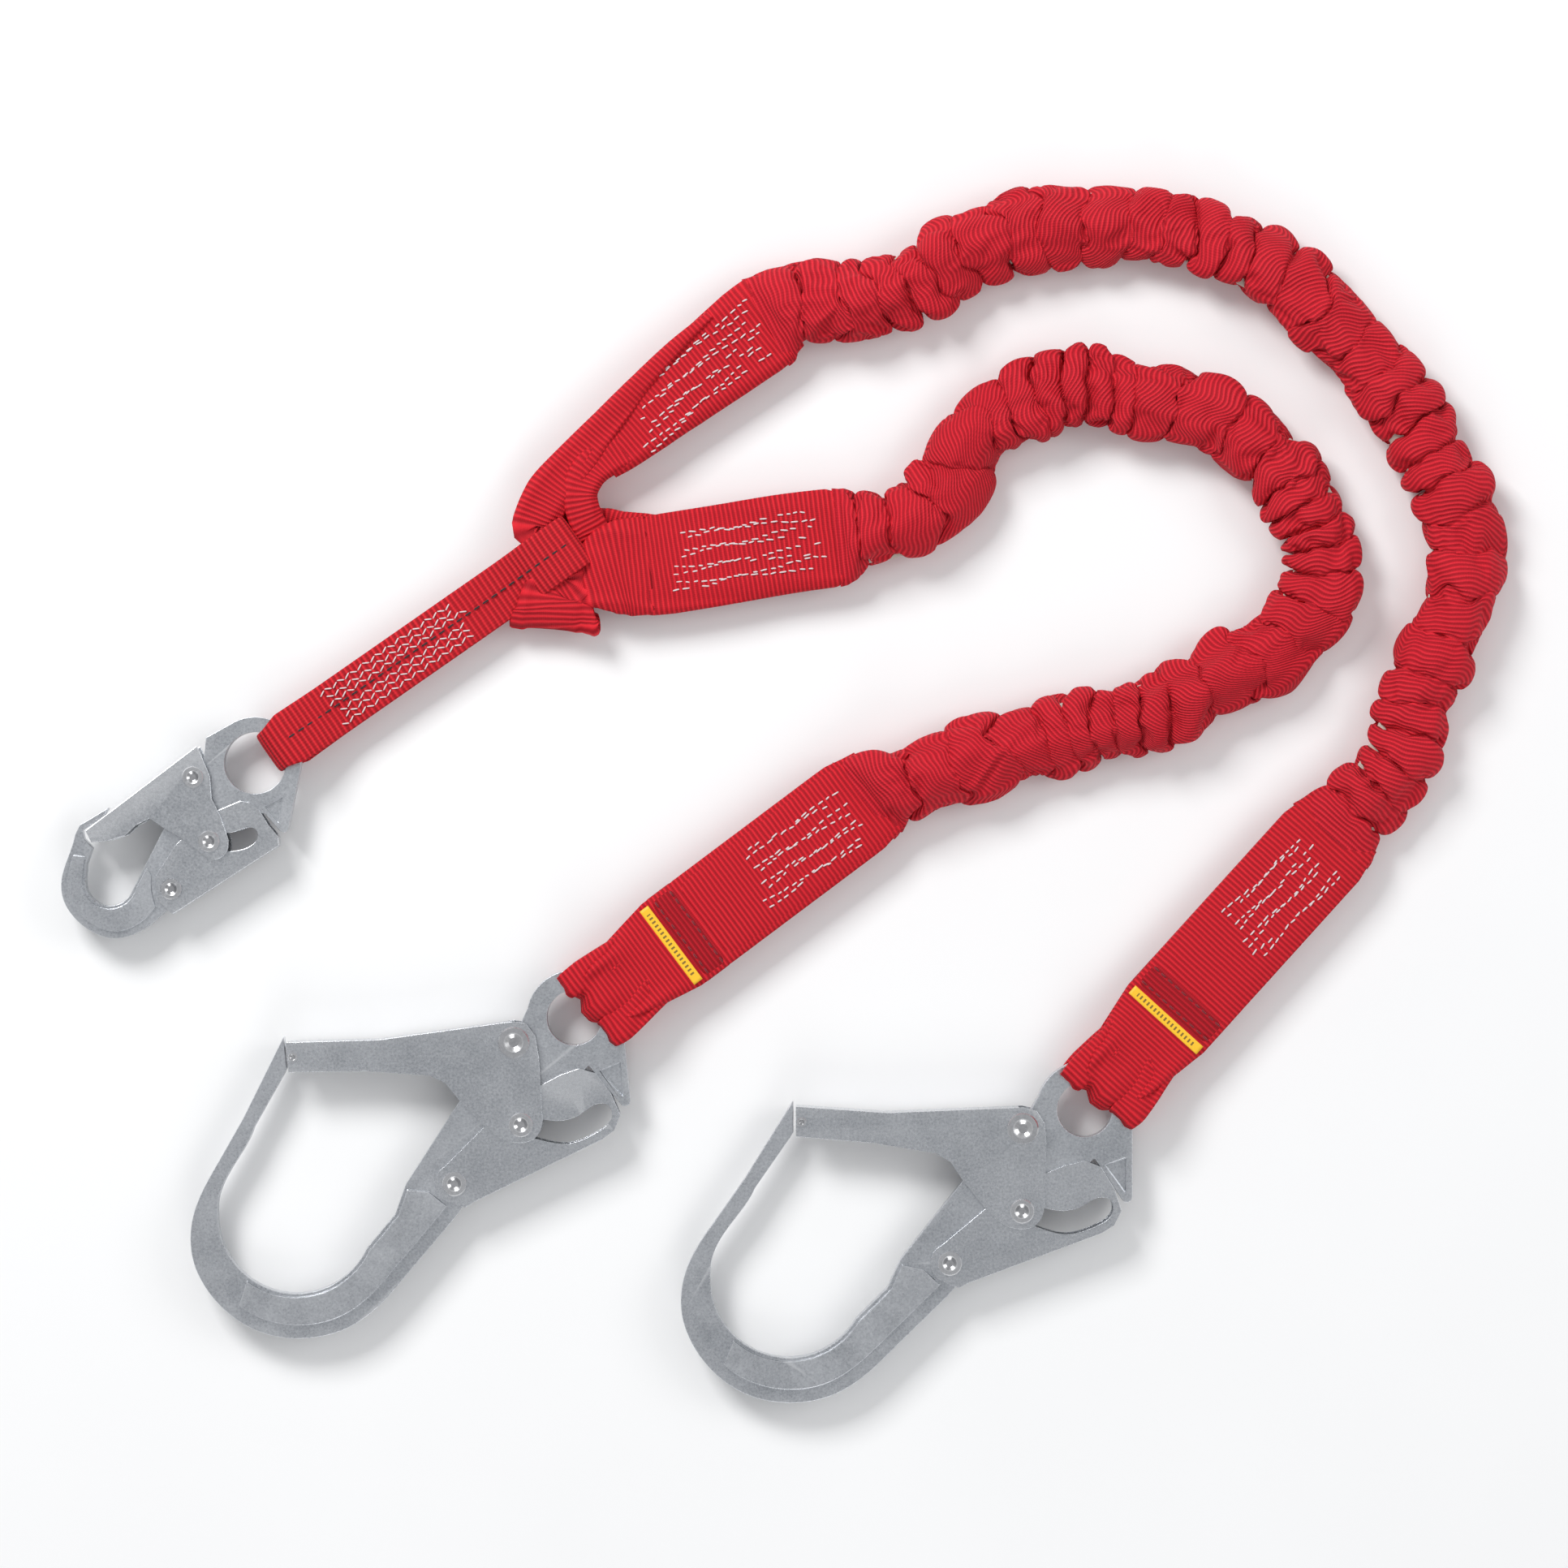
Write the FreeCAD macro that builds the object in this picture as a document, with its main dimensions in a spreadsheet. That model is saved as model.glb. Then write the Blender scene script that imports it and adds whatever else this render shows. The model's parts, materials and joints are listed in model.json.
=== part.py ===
import FreeCAD, Part
import math
import os
import Sketcher

# Shock absorbing twin-leg lanyard: one snap hook on a narrow strap, two gathered legs and two rebar hooks.
# Millimetres, +Z up, the lanyard laid out flat; MID is the height of the common middle plane of webbing and hooks.

V = FreeCAD.Vector
doc = FreeCAD.newDocument("lanyard")
sheet = doc.addObject("Spreadsheet::Sheet", "Sizes")

SIZES = [
    ("plate_thick", 8.0, "forged hook body plate"),
    ("forging_thick", 12.0, "raised forged rib of the rebar hook"),
    ("snap_rib_thick", 10.4, "raised forged rib of the snap hook"),
    ("lever_outer", 12.8, "rebar hook lever, outside width"),
    ("lever_inner", 8.8, "rebar hook lever, inside width"),
    ("gate_outer", 17.4, "rebar hook gate, outside width"),
    ("gate_inner", 13.4, "rebar hook gate, inside width"),
    ("snap_lever_outer", 12.4, "snap hook lever, outside width"),
    ("snap_lever_inner", 8.8, "snap hook lever, inside width"),
    ("snap_gate_outer", 16.6, "snap hook gate, outside width"),
    ("snap_gate_inner", 13.0, "snap hook gate, inside width"),
    ("rivet_hole", 3.05, "radius of the rivet holes"),
    ("snap_rivet_hole", 2.25, "radius of the snap hook rivet holes"),
    ("eye_radius", 12.6, "rebar hook eye hole"),
    ("snap_eye_radius", 14.2, "snap hook eye hole"),
    ("strap_width", 25.4, "one inch strap"),
    ("leg_width", 46.0, "flattened tubular webbing"),
    ("splice_thick", 9.0, "sewn layers of a leg end"),
    ("loop_thick", 24.4, "height of a leg loop through a hook eye"),
    ("sleeve_half_width", 19.0, "gathered sleeve, half width"),
    ("sleeve_half_height", 11.0, "gathered sleeve, half height"),
    ("sleeve_wall", 2.5, "gathered sleeve wall"),
    ("core_half_width", 13.0, "elastic core, half width"),
    ("core_half_height", 3.4, "elastic core, half height"),
    ("wire_radius", 0.8, "torsion spring wire"),
    ("coil_radius", 4.6, "torsion spring coil"),
    ("bar_radius", 2.4, "leg loop where it passes through the strap"),
    ("ring_thick", 4.0, "leg loop strands at the junction"),
]
for i, (alias, value, note) in enumerate(SIZES, 1):
    sheet.set(f"A{i}", alias)
    sheet.set(f"B{i}", str(value))
    sheet.setAlias(f"B{i}", alias)
    sheet.set(f"C{i}", note)
doc.recompute()
S = {alias: value for alias, value, _ in SIZES}
MID = 12.5
parts = []


def place(x, y, z=MID, turn=0.0):
    return FreeCAD.Placement(V(x, y, z), FreeCAD.Rotation(V(0, 0, 1), turn))


def new_body(label, placement, many=False):
    body = doc.addObject("PartDesign::Body", label)
    body.Label = label
    body.AllowCompound = many
    body.Placement = placement
    parts.append(body)
    return body


def plane(body, role):
    return next(f for f in body.Origin.OriginFeatures if f.Role == role)


def edges_of(outline):
    """An outline is a list of points joined by straight edges; an item may also be ("curve", points) or ("arc", centre, radius, from, to) in degrees."""
    out, start, last = [], None, None
    for item in outline:
        if item[0] == "curve":
            pts = [V(x, y, 0) for x, y in item[1]]
            if last is not None and last.distanceToPoint(pts[0]) > 1e-6:
                out.append(Part.LineSegment(last, pts[0]))
            curve = Part.BSplineCurve()
            curve.interpolate(pts)
            out.append(curve)
            first, last = pts[0], pts[-1]
        elif item[0] == "arc":
            (cx, cy), r, a, b = item[1:]
            p = V(cx + r * math.cos(math.radians(a)), cy + r * math.sin(math.radians(a)), 0)
            q = V(cx + r * math.cos(math.radians(b)), cy + r * math.sin(math.radians(b)), 0)
            if last is not None and last.distanceToPoint(p) > 1e-6:
                out.append(Part.LineSegment(last, p))
            circle = Part.Circle(V(cx, cy, 0), V(0, 0, 1), r)
            low, high = (a, b) if b > a else (b, a)
            out.append(Part.ArcOfCircle(circle, math.radians(low), math.radians(high)))
            first, last = p, q
        else:
            p = V(item[0], item[1], 0)
            if last is not None and last.distanceToPoint(p) > 1e-6:
                out.append(Part.LineSegment(last, p))
            first, last = p, p
        if start is None:
            start = first
    if last.distanceToPoint(start) > 1e-6:
        out.append(Part.LineSegment(last, start))
    return out


def sketch(body, name, outlines, role="XY_Plane", offset=0.0, circles=()):
    s = body.newObject("Sketcher::SketchObject", name)
    s.AttachmentSupport = [(plane(body, role), "")]
    s.MapMode = "FlatFace"
    if offset:
        s.AttachmentOffset = FreeCAD.Placement(V(0, 0, offset), FreeCAD.Rotation())
    for o in outlines:
        s.addGeometry(edges_of(o), False)
    for x, y, alias in circles:
        g = s.addGeometry(Part.Circle(V(x, y, 0), V(0, 0, 1), S[alias]), False)
        c = s.addConstraint(Sketcher.Constraint("Radius", g, S[alias]))
        s.setExpression(f"Constraints[{c}]", f"Sizes.{alias}")
    return s


def feature(body, kind, name, s, alias=None, length=None, symmetric=True, back=False):
    f = body.newObject(f"PartDesign::{kind}", name)
    f.Profile = s
    f.SideType = "Symmetric" if symmetric else "One side"
    f.Reversed = back
    if alias:
        f.Length = S[alias]
        f.setExpression("Length", f"Sizes.{alias}")
    else:
        f.Length = length
    s.Visibility = False
    return f


def rivet(label, where, at, shank, head, grip, rise=1.6):
    b = new_body(label, where.multiply(FreeCAD.Placement(V(at[0], at[1], 0), FreeCAD.Rotation())))
    top, dish, edge = grip + rise, head * 0.55, head * 0.08
    half = [(0, top - rise * 0.55), (dish * 0.55, top - rise * 0.55), (dish, top - edge * 0.3), (dish + edge, top), (head - edge, top), (head, top - edge), (head, grip), (shank, grip)]
    pts = half + [(r, -z) for r, z in reversed(half)]
    s = sketch(b, label + "_profile", [pts], "XZ_Plane")
    r = b.newObject("PartDesign::Revolution", label + "_turned")
    r.Profile = s
    r.ReferenceAxis = (s, ["V_Axis"])
    r.Angle = 360
    return b


def spring(label, where, at, height, leg_angle, leg_length):
    ring = doc.addObject("Part::Torus", label + "_coil")
    ring.Radius1, ring.Radius2 = S["coil_radius"], S["wire_radius"]
    ring.setExpression("Radius1", "Sizes.coil_radius")
    ring.setExpression("Radius2", "Sizes.wire_radius")
    ring.Placement = FreeCAD.Placement(V(at[0], at[1], height), FreeCAD.Rotation())
    leg = doc.addObject("Part::Cylinder", label + "_leg")
    leg.Radius, leg.Height = S["wire_radius"] * 0.99, leg_length
    leg.setExpression("Radius", "Sizes.wire_radius * 0.99")
    a = math.radians(leg_angle)
    foot = V(at[0] - S["coil_radius"] * math.sin(a), at[1] + S["coil_radius"] * math.cos(a), height)
    leg.Placement = FreeCAD.Placement(foot, FreeCAD.Rotation(V(0, 0, 1), V(math.cos(a), math.sin(a), 0)))
    both = doc.addObject("Part::MultiFuse", label)
    both.Label = label
    both.Shapes = [ring, leg]
    both.Placement = where
    parts.append(both)
    return both


def channel(label, where, outline, inside, outer, inner, holes, slots=()):
    """A bent sheet channel: the plate outline at full width, hollowed by the outline of its inside, which leaves the spine."""
    b = new_body(label, where)
    feature(b, "Pad", label + "_block", sketch(b, label + "_outline", [outline]), outer)
    feature(b, "Pocket", label + "_hollow", sketch(b, label + "_inside", [inside]), inner)
    for i, o in enumerate(slots):
        feature(b, "Pocket", f"{label}_slot_{i}", sketch(b, f"{label}_slot_sketch_{i}", [o]), length=40)
    s = sketch(b, label + "_holes", [], circles=holes)
    feature(b, "Pocket", label + "_drilled", s, length=40)
    return b


# ---------------------------------------------------------------- rebar hook, its own origin at the gate pivot
P2, P3, NOSE = (-0.4, -37.9), (-33.5, -62.1), (-101.6, 3.0)
EYE, RING = (28.6, 8.5), 22.0
BOWL, BOWL_R = (-107.7, -69.8), 36.0
EYE_AXIS = 17.3  # from the eye centre to the middle of its ring

REBAR_BODY = [
    (-105.4, 12.6), (-127.5, -23.0),
    ("curve", [(-146.0, -49.3), (-150.6, -56.6), (-154.6, -65.2), (-156.9, -75.1), (-156.5, -87.0), (-152.7, -97.9), (-142.3, -112.2), (-127.5, -122.4), (-106.7, -126.6), (-88.8, -123.6), (-74.0, -115.2), (-59.1, -101.4), (-45.7, -88.4), (-34.3, -77.2)]),
    (-30.9, -73.2), (-28.9, -69.6), (-6.5, -55.0), (-6.5, -34.4),
    ("curve", [(-1.2, -34.0), (8.8, -32.8), (17.0, -29.4), (21.9, -26.0), (26.0, -21.6), (33.1, -14.1)]),
    (46.3, -33.6), (48.0, -34.4), (50.0, -33.6), (50.6, -31.9),
    ("arc", EYE, RING, 0, 163),
    ("arc", (0, 0), 6.5, 67, 141.7),
    (-55.9, -60.3), (-62.1, -73.6),
    ("arc", BOWL, BOWL_R, 330, 172),
    ("curve", [(-143.35, -63.9), (-142.3, -58.4), (-138.9, -51.1), (-123.0, -27.6)]),
    (-106.7, -4.2), (-105.4, -2.0),
]
REBAR_RIB = [
    ("curve", [(-137.5, -108.6), (-125.0, -116.6), (-106.9, -120.2), (-91.0, -117.6), (-77.8, -110.2), (-63.2, -96.8), (-50.0, -84.0), (-38.0, -72.2)]),
    (-45.7, -64.9), (-55.4, -62.9), (-60.6, -74.4),
    ("arc", BOWL, 37.6, 329, 228),
]
REBAR_TRIANGLE = [(38.0, -17.0), (47.6, -14.0), (47.4, -29.6)]
REBAR_GATE = [(-104.2, 10.0), (-104.2, -3.7), (-68.0, -6.7), (-39.8, -11.4), (-33.1, -15.6), (-27.1, -24.5), (-17.5, -36.4),
              ("curve", [(-12.6, -41.6), (-7.1, -44.9), (-0.4, -46.2), (5.6, -44.6), (8.9, -40.2), (9.8, -34.0)]),
              (10.8, -8.2), (10.0, 2.2), (6.3, 8.2), (0.4, 9.6), (-62.1, 7.1)]
REBAR_GATE_IN = [(-110.0, 8.1), (-110.0, -60.0), (30.0, -60.0), (30.0, 30.0), (-1.6, 30.0), (-1.6, 7.3), (-62.1, 5.0)]
REBAR_LEVER = [(-29.4, -73.4), (-25.6, -71.3), (36.0, -48.3), (42.0, -44.6), (45.4, -37.9), (42.0, -27.5), (36.0, -17.8), (28.6, -14.9), (19.7, -17.1), (10.5, -20.8), (2.0, -24.6), (-8.0, -30.6), (-16.7, -36.8), (-37.6, -54.2),
               ("arc", P3, 9.0, 118, 232), (-33.4, -72.0)]
REBAR_LEVER_IN = [(-60.0, -90.0), (-25.7, -90.0), (-25.7, -69.0), (36.9, -45.6), (60.0, -20.0), (60.0, 0.0), (-60.0, 0.0)]
REBAR_SLOT = [("curve", [(-4.3, -37.6), (-3.2, -35.1), (0.4, -34.1), (9.3, -36.4), (19.7, -37.9), (27.1, -35.9), (35.3, -31.9), (40.2, -33.0), (41.5, -37.9), (33.1, -45.3), (19.7, -48.8), (6.3, -45.3), (-1.6, -41.6), (-4.0, -39.6)])]


def rebar_hook(name, where):
    def w():
        return FreeCAD.Placement(where)
    b = new_body(name + "_body", w())
    feature(b, "Pad", name + "_forging", sketch(b, name + "_forging_outline", [REBAR_BODY]), "plate_thick")
    feature(b, "Pad", name + "_rib", sketch(b, name + "_rib_outline", [REBAR_RIB]), "forging_thick")
    s = sketch(b, name + "_holes", [], circles=[(EYE[0], EYE[1], "eye_radius"), (0, 0, "rivet_hole"), (P3[0], P3[1], "rivet_hole")])
    feature(b, "Pocket", name + "_drilled", s, length=40)
    for sign, side in ((1, "front"), (-1, "back")):
        s = sketch(b, f"{name}_recess_{side}_sketch", [REBAR_TRIANGLE], offset=sign * S["plate_thick"] / 2)
        feature(b, "Pocket", f"{name}_recess_{side}", s, length=1.6, symmetric=False, back=sign < 0)
    s = sketch(b, name + "_spring_seat_sketch", [[("arc", P3, 7.0, 0, 180), ("arc", P3, 7.0, 180, 360)]], offset=S["plate_thick"] / 2)
    feature(b, "Pocket", name + "_spring_seat", s, length=2.4, symmetric=False)
    channel(name + "_gate", w(), REBAR_GATE, REBAR_GATE_IN, "gate_outer", "gate_inner", [(0, 0, "rivet_hole"), (P2[0], P2[1], "rivet_hole")],
            slots=[[("arc", NOSE, 1.45, 0, 180), ("arc", NOSE, 1.45, 180, 360)]])
    channel(name + "_lock_lever", w(), REBAR_LEVER, REBAR_LEVER_IN, "lever_outer", "lever_inner", [(P3[0], P3[1], "rivet_hole")], slots=[REBAR_SLOT])
    half_gate, half_lever = S["gate_outer"] / 2 + 0.05, S["lever_outer"] / 2 + 0.05
    rivet(name + "_gate_pivot_rivet", w(), (0, 0), 3.0, 7.2, half_gate)
    rivet(name + "_stop_rivet", w(), P2, 2.6, 5.6, half_gate)
    rivet(name + "_lever_rivet", w(), P3, 3.0, 5.6, half_lever)
    rivet(name + "_nose_pin", w(), NOSE, 1.4, 2.2, half_gate, rise=0.8)
    spring(name + "_gate_spring", w(), (0, 0), 5.4, 183, 22)
    spring(name + "_lever_spring", w(), P3, 2.9, 30, 4.6)


# ---------------------------------------------------------------- snap hook, its own origin at the gate pivot
Q2, Q3 = (7.4, -29.5), (-10.2, -51.4)
SNAP_EYE, SNAP_RING = (28.1, 6.5), 21.1
SNAP_BOWL, SNAP_BOWL_R = (-38.7, -48.0), 11.3
SNAP_BODY = [
    (-39.3, -14.2), (-52.4, -22.0),
    ("curve", [(-54.6, -26.4), (-57.8, -36.7), (-61.0, -48.2), (-60.0, -56.5), (-56.1, -63.4), (-48.3, -70.3), (-37.1, -74.2), (-25.9, -71.6), (-17.3, -65.6)]),
    (-13.8, -62.3), (-10.2, -59.0), (-4.9, -57.2), (1.6, -51.4), (1.6, -28.6),
    ("curve", [(2.6, -27.3), (8.5, -26.2), (14.6, -23.3), (18.9, -20.0), (22.5, -16.6)]),
    (32.8, -16.8), (39.6, -24.9), (41.6, -25.6), (43.4, -23.9),
    ("arc", SNAP_EYE, SNAP_RING, -7, 122),
    (5.6, 18.2), (4.6, 8.0),
    ("arc", (0, 0), 6.8, 53, 180),
    (-10.6, -17.0), (-13.8, -23.7),
    ("arc", SNAP_BOWL, SNAP_BOWL_R, 340, 175),
    (-49.4, -40.0), (-46.8, -32.6), (-50.7, -28.2), (-51.5, -24.6), (-41.2, -17.2),
]
SNAP_RIB = [
    ("curve", [(-55.3, -36.0), (-58.0, -48.3), (-57.2, -55.5), (-53.8, -61.4), (-46.8, -67.6), (-37.3, -71.0), (-27.8, -68.8), (-20.6, -63.6)]),
    (-17.6, -60.0), (-19.6, -52.0), (-19.6, -45.0), (-21.6, -42.0), (-26.4, -51.2),
    ("arc", SNAP_BOWL, 12.7, 345, 178), (-50.8, -41.0), (-50.2, -36.6),
]
SNAP_TRIANGLE = [(32.6, -13.6), (40.8, -9.4), (38.8, -21.0)]
SNAP_GATE = [(-49.3, -24.6), (1.7, 14.2), (3.0, 11.7), (7.8, 0.4), (8.6, -9.9), (12.9, -18.6), (16.4, -28.9),
             ("curve", [(16.3, -32.6), (13.6, -36.6), (9.6, -38.0), (5.6, -36.6)]),
             (-5.2, -28.1), (-13.8, -23.3), (-19.9, -19.0), (-25.9, -22.0), (-31.1, -26.8), (-38.8, -29.3), (-46.6, -30.0)]
SNAP_GATE_IN = [(-62.0, -36.8), (-3.6, 7.7), (-5.6, 10.4), (8.0, 30.0), (40.0, 30.0), (40.0, -60.0), (-62.0, -60.0)]
SNAP_LEVER = [(-9.5, -63.0), (39.3, -31.5), (38.8, -27.2), (34.5, -22.0), (30.2, -15.1), (25.9, -11.7), (21.6, -11.0), (11.7, -15.1), (2.0, -22.0), (-8.0, -31.0), (-17.3, -45.3), (-17.3, -52.2), (-16.0, -57.4)]
SNAP_LEVER_IN = [(-40.0, -80.0), (-9.6, -80.0), (-9.6, -60.8), (38.2, -29.9), (38.2, -10.0), (60.0, 10.0), (-40.0, 10.0)]
SNAP_SLOT = [("curve", [(3.2, -29.5), (4.8, -26.6), (9.0, -25.5), (17.3, -25.6), (24.6, -23.4), (28.4, -23.9), (29.6, -27.2), (27.4, -30.8), (19.0, -33.9), (9.0, -33.6), (4.4, -32.0)])]


def snap_hook(where):
    def w():
        return FreeCAD.Placement(where)
    n = "snap_hook"
    b = new_body(n + "_body", w())
    feature(b, "Pad", n + "_forging", sketch(b, n + "_forging_outline", [SNAP_BODY]), "plate_thick")
    feature(b, "Pad", n + "_rib", sketch(b, n + "_rib_outline", [SNAP_RIB]), "snap_rib_thick")
    s = sketch(b, n + "_holes", [], circles=[(SNAP_EYE[0], SNAP_EYE[1], "snap_eye_radius"), (0, 0, "snap_rivet_hole"), (Q3[0], Q3[1], "snap_rivet_hole")])
    feature(b, "Pocket", n + "_drilled", s, length=40)
    for sign, side in ((1, "front"), (-1, "back")):
        s = sketch(b, f"{n}_recess_{side}_sketch", [SNAP_TRIANGLE], offset=sign * S["plate_thick"] / 2)
        feature(b, "Pocket", f"{n}_recess_{side}", s, length=1.4, symmetric=False, back=sign < 0)
    s = sketch(b, n + "_spring_seat_sketch", [[("arc", Q3, 6.3, 0, 180), ("arc", Q3, 6.3, 180, 360)]], offset=S["plate_thick"] / 2)
    feature(b, "Pocket", n + "_spring_seat", s, length=2.4, symmetric=False)
    channel(n + "_gate", w(), SNAP_GATE, SNAP_GATE_IN, "snap_gate_outer", "snap_gate_inner", [(0, 0, "snap_rivet_hole"), (Q2[0], Q2[1], "snap_rivet_hole")])
    channel(n + "_lock_lever", w(), SNAP_LEVER, SNAP_LEVER_IN, "snap_lever_outer", "snap_lever_inner", [(Q3[0], Q3[1], "snap_rivet_hole")], slots=[SNAP_SLOT])
    half_gate, half_lever = S["snap_gate_outer"] / 2 + 0.05, S["snap_lever_outer"] / 2 + 0.05
    rivet(n + "_gate_pivot_rivet", w(), (0, 0), 2.2, 4.9, half_gate, rise=1.4)
    rivet(n + "_stop_rivet", w(), Q2, 2.2, 4.9, half_gate, rise=1.4)
    rivet(n + "_lever_rivet", w(), Q3, 2.2, 4.9, half_lever, rise=1.4)
    spring(n + "_gate_spring", w(), (0, 0), 5.2, 216, 16)
    spring(n + "_lever_spring", w(), Q3, 2.9, 30, 2.4)


# ---------------------------------------------------------------- where the hooks lie
RIGHT = place(109.7, -158.2)
LEFT = place(-124.1, -118.7, turn=5.5)
SNAP = place(-271.5, 3.2)
rebar_hook("hook_a", RIGHT)
rebar_hook("hook_b", LEFT)
snap_hook(SNAP)
EYE_A = RIGHT.multVec(V(EYE[0], EYE[1], 0))
EYE_B = LEFT.multVec(V(EYE[0], EYE[1], 0))
EYE_S = SNAP.multVec(V(SNAP_EYE[0], SNAP_EYE[1], 0))


# ---------------------------------------------------------------- harness strap: local x runs from the snap hook's eye to the leg junction
TIP = V(-94.7, 113.2, MID)
strap_turn = math.degrees(math.atan2(TIP.y - EYE_S.y, TIP.x - EYE_S.x))
STRAP = FreeCAD.Placement(V(EYE_S.x, EYE_S.y, MID), FreeCAD.Rotation(V(0, 0, 1), strap_turn))
L = math.hypot(TIP.x - EYE_S.x, TIP.y - EYE_S.y)
SNAP_AXIS = 17.65
strap = new_body("strap_webbing", FreeCAD.Placement(STRAP))
side = [(26.0, 8.4), (42.0, 2.6), (L - 34, 2.6), (L - 19, 8.8), (L - 14, 9.8), (L - 3.5, 9.8), (L - 1.0, 8.6), (L, 6.0)]
left_cap = [(SNAP_AXIS - 10.9 * math.cos(math.radians(a)), 10.9 * math.sin(math.radians(a))) for a in (-90, -70, -50, -30, -10, 10, 30, 50, 70, 90)]
profile = [("curve", left_cap)] + side + [(x, -z) for x, z in side[::-1]]
feature(strap, "Pad", "strap_layers", sketch(strap, "strap_side", [profile], "XZ_Plane"), "strap_width")
hook_void = [("curve", [(SNAP_AXIS - 8.4 * math.cos(math.radians(a)), 8.4 * math.sin(math.radians(a))) for a in (-90, -60, -30, 0, 30, 60, 90)]), (24.0, 7.0), (34.0, 0.4), (34.0, -0.4), (24.0, -7.0)]
leg_void = [(L - 21.0, 5.6), (L - 16.0, 7.2), (L - 4.0, 7.2), (L - 2.6, 5.4), (L - 2.6, -5.4), (L - 4.0, -7.2), (L - 16.0, -7.2), (L - 21.0, -5.6)]
feature(strap, "Pocket", "strap_hook_loop", sketch(strap, "strap_hook_loop_side", [hook_void], "XZ_Plane"), length=60)
feature(strap, "Pocket", "strap_leg_loop", sketch(strap, "strap_leg_loop_side", [leg_void], "XZ_Plane"), length=60)
for sign in (1, -1):
    o = [(0.0, sign * 9.5), (SNAP_AXIS - 0.6, sign * 9.5), (SNAP_AXIS + 3.0, sign * 12.8), (SNAP_AXIS + 3.0, sign * 20), (0.0, sign * 20)]
    feature(strap, "Pocket", f"strap_bunched_{'left' if sign > 0 else 'right'}", sketch(strap, f"strap_bunched_sketch_{'left' if sign > 0 else 'right'}", [o]), length=60)


def rectangles(label, where, boxes, z0, thick, mirrored=True):
    """Thread or tape lying on both faces of the webbing, as one group of separate solids."""
    b = new_body(label, where, many=True)
    outlines = [[(x - l / 2 * math.cos(a) - w / 2 * -math.sin(a), y - l / 2 * math.sin(a) - w / 2 * math.cos(a)),
                 (x + l / 2 * math.cos(a) - w / 2 * -math.sin(a), y + l / 2 * math.sin(a) - w / 2 * math.cos(a)),
                 (x + l / 2 * math.cos(a) + w / 2 * -math.sin(a), y + l / 2 * math.sin(a) + w / 2 * math.cos(a)),
                 (x - l / 2 * math.cos(a) + w / 2 * -math.sin(a), y - l / 2 * math.sin(a) + w / 2 * math.cos(a))] for x, y, l, w, a in boxes]
    feature(b, "Pad", label + "_top", sketch(b, label + "_top_sketch", outlines, offset=z0), length=thick, symmetric=False)
    if mirrored:
        feature(b, "Pad", label + "_bottom", sketch(b, label + "_bottom_sketch", outlines, offset=-z0), length=thick, symmetric=False, back=True)
    return b


rectangles("strap_stitching", FreeCAD.Placement(STRAP), [(46.0 + 7.0 * i, y, 6.4, 0.9, a) for i in range(10) for y, a in ((4.2, 0.12), (7.4, -0.12), (-4.2, -0.12), (-7.4, 0.12))], 2.65, 0.5)
rectangles("strap_tracer", FreeCAD.Placement(STRAP), [(44.0 + 5.0 * i, 0.0, 3.2, 0.9, 0.0) for i in range(20)], 2.65, 0.4)


# ---------------------------------------------------------------- legs
def leg_loop(label, where, length, tail):
    """Leg end sewn back on itself: local x runs from the hook's eye to the sleeve; the loop is round about the middle of the eye's ring."""
    b = new_body(label, where)
    outer = [(EYE_AXIS - 12.2 * math.cos(math.radians(a)), 12.2 * math.sin(math.radians(a))) for a in (-90, -70, -50, -30, -10, 10, 30, 50, 70, 90)]
    h = S["splice_thick"] / 2
    side = [(28.0, 11.0), (52.0, h), (length, h)]
    feature(b, "Pad", label + "_layers", sketch(b, label + "_side", [[("curve", outer)] + side + [(x, -z) for x, z in side[::-1]]], "XZ_Plane"), "leg_width")
    void = [("curve", [(EYE_AXIS - 8.2 * math.cos(math.radians(a)), 8.2 * math.sin(math.radians(a))) for a in (-90, -60, -30, 0, 30, 60, 90)]), (25.5, 7.4), (34.0, 0.5), (34.0, -0.5), (25.5, -7.4)]
    feature(b, "Pocket", label + "_eye", sketch(b, label + "_eye_side", [void], "XZ_Plane"), length=90)
    for sign in (1, -1):
        o = [(0.0, sign * 7.2), (EYE_AXIS, sign * 7.2), (EYE_AXIS + 3.5, sign * 12.5), (28.0, sign * 16.5), (46.0, sign * 19.5), (50.0, sign * 23.1), (50.0, sign * 40), (0.0, sign * 40)]
        feature(b, "Pocket", f"{label}_bunched_{'left' if sign > 0 else 'right'}", sketch(b, f"{label}_bunched_sketch_{'left' if sign > 0 else 'right'}", [o]), length=60)
    return b


def turn_to(a, b):
    return math.degrees(math.atan2(b[1] - a[1], b[0] - a[0]))


JUNCTION = STRAP.multVec(V(L - 10.0, 0, 0))
BAR_RISE = 3.2


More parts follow.
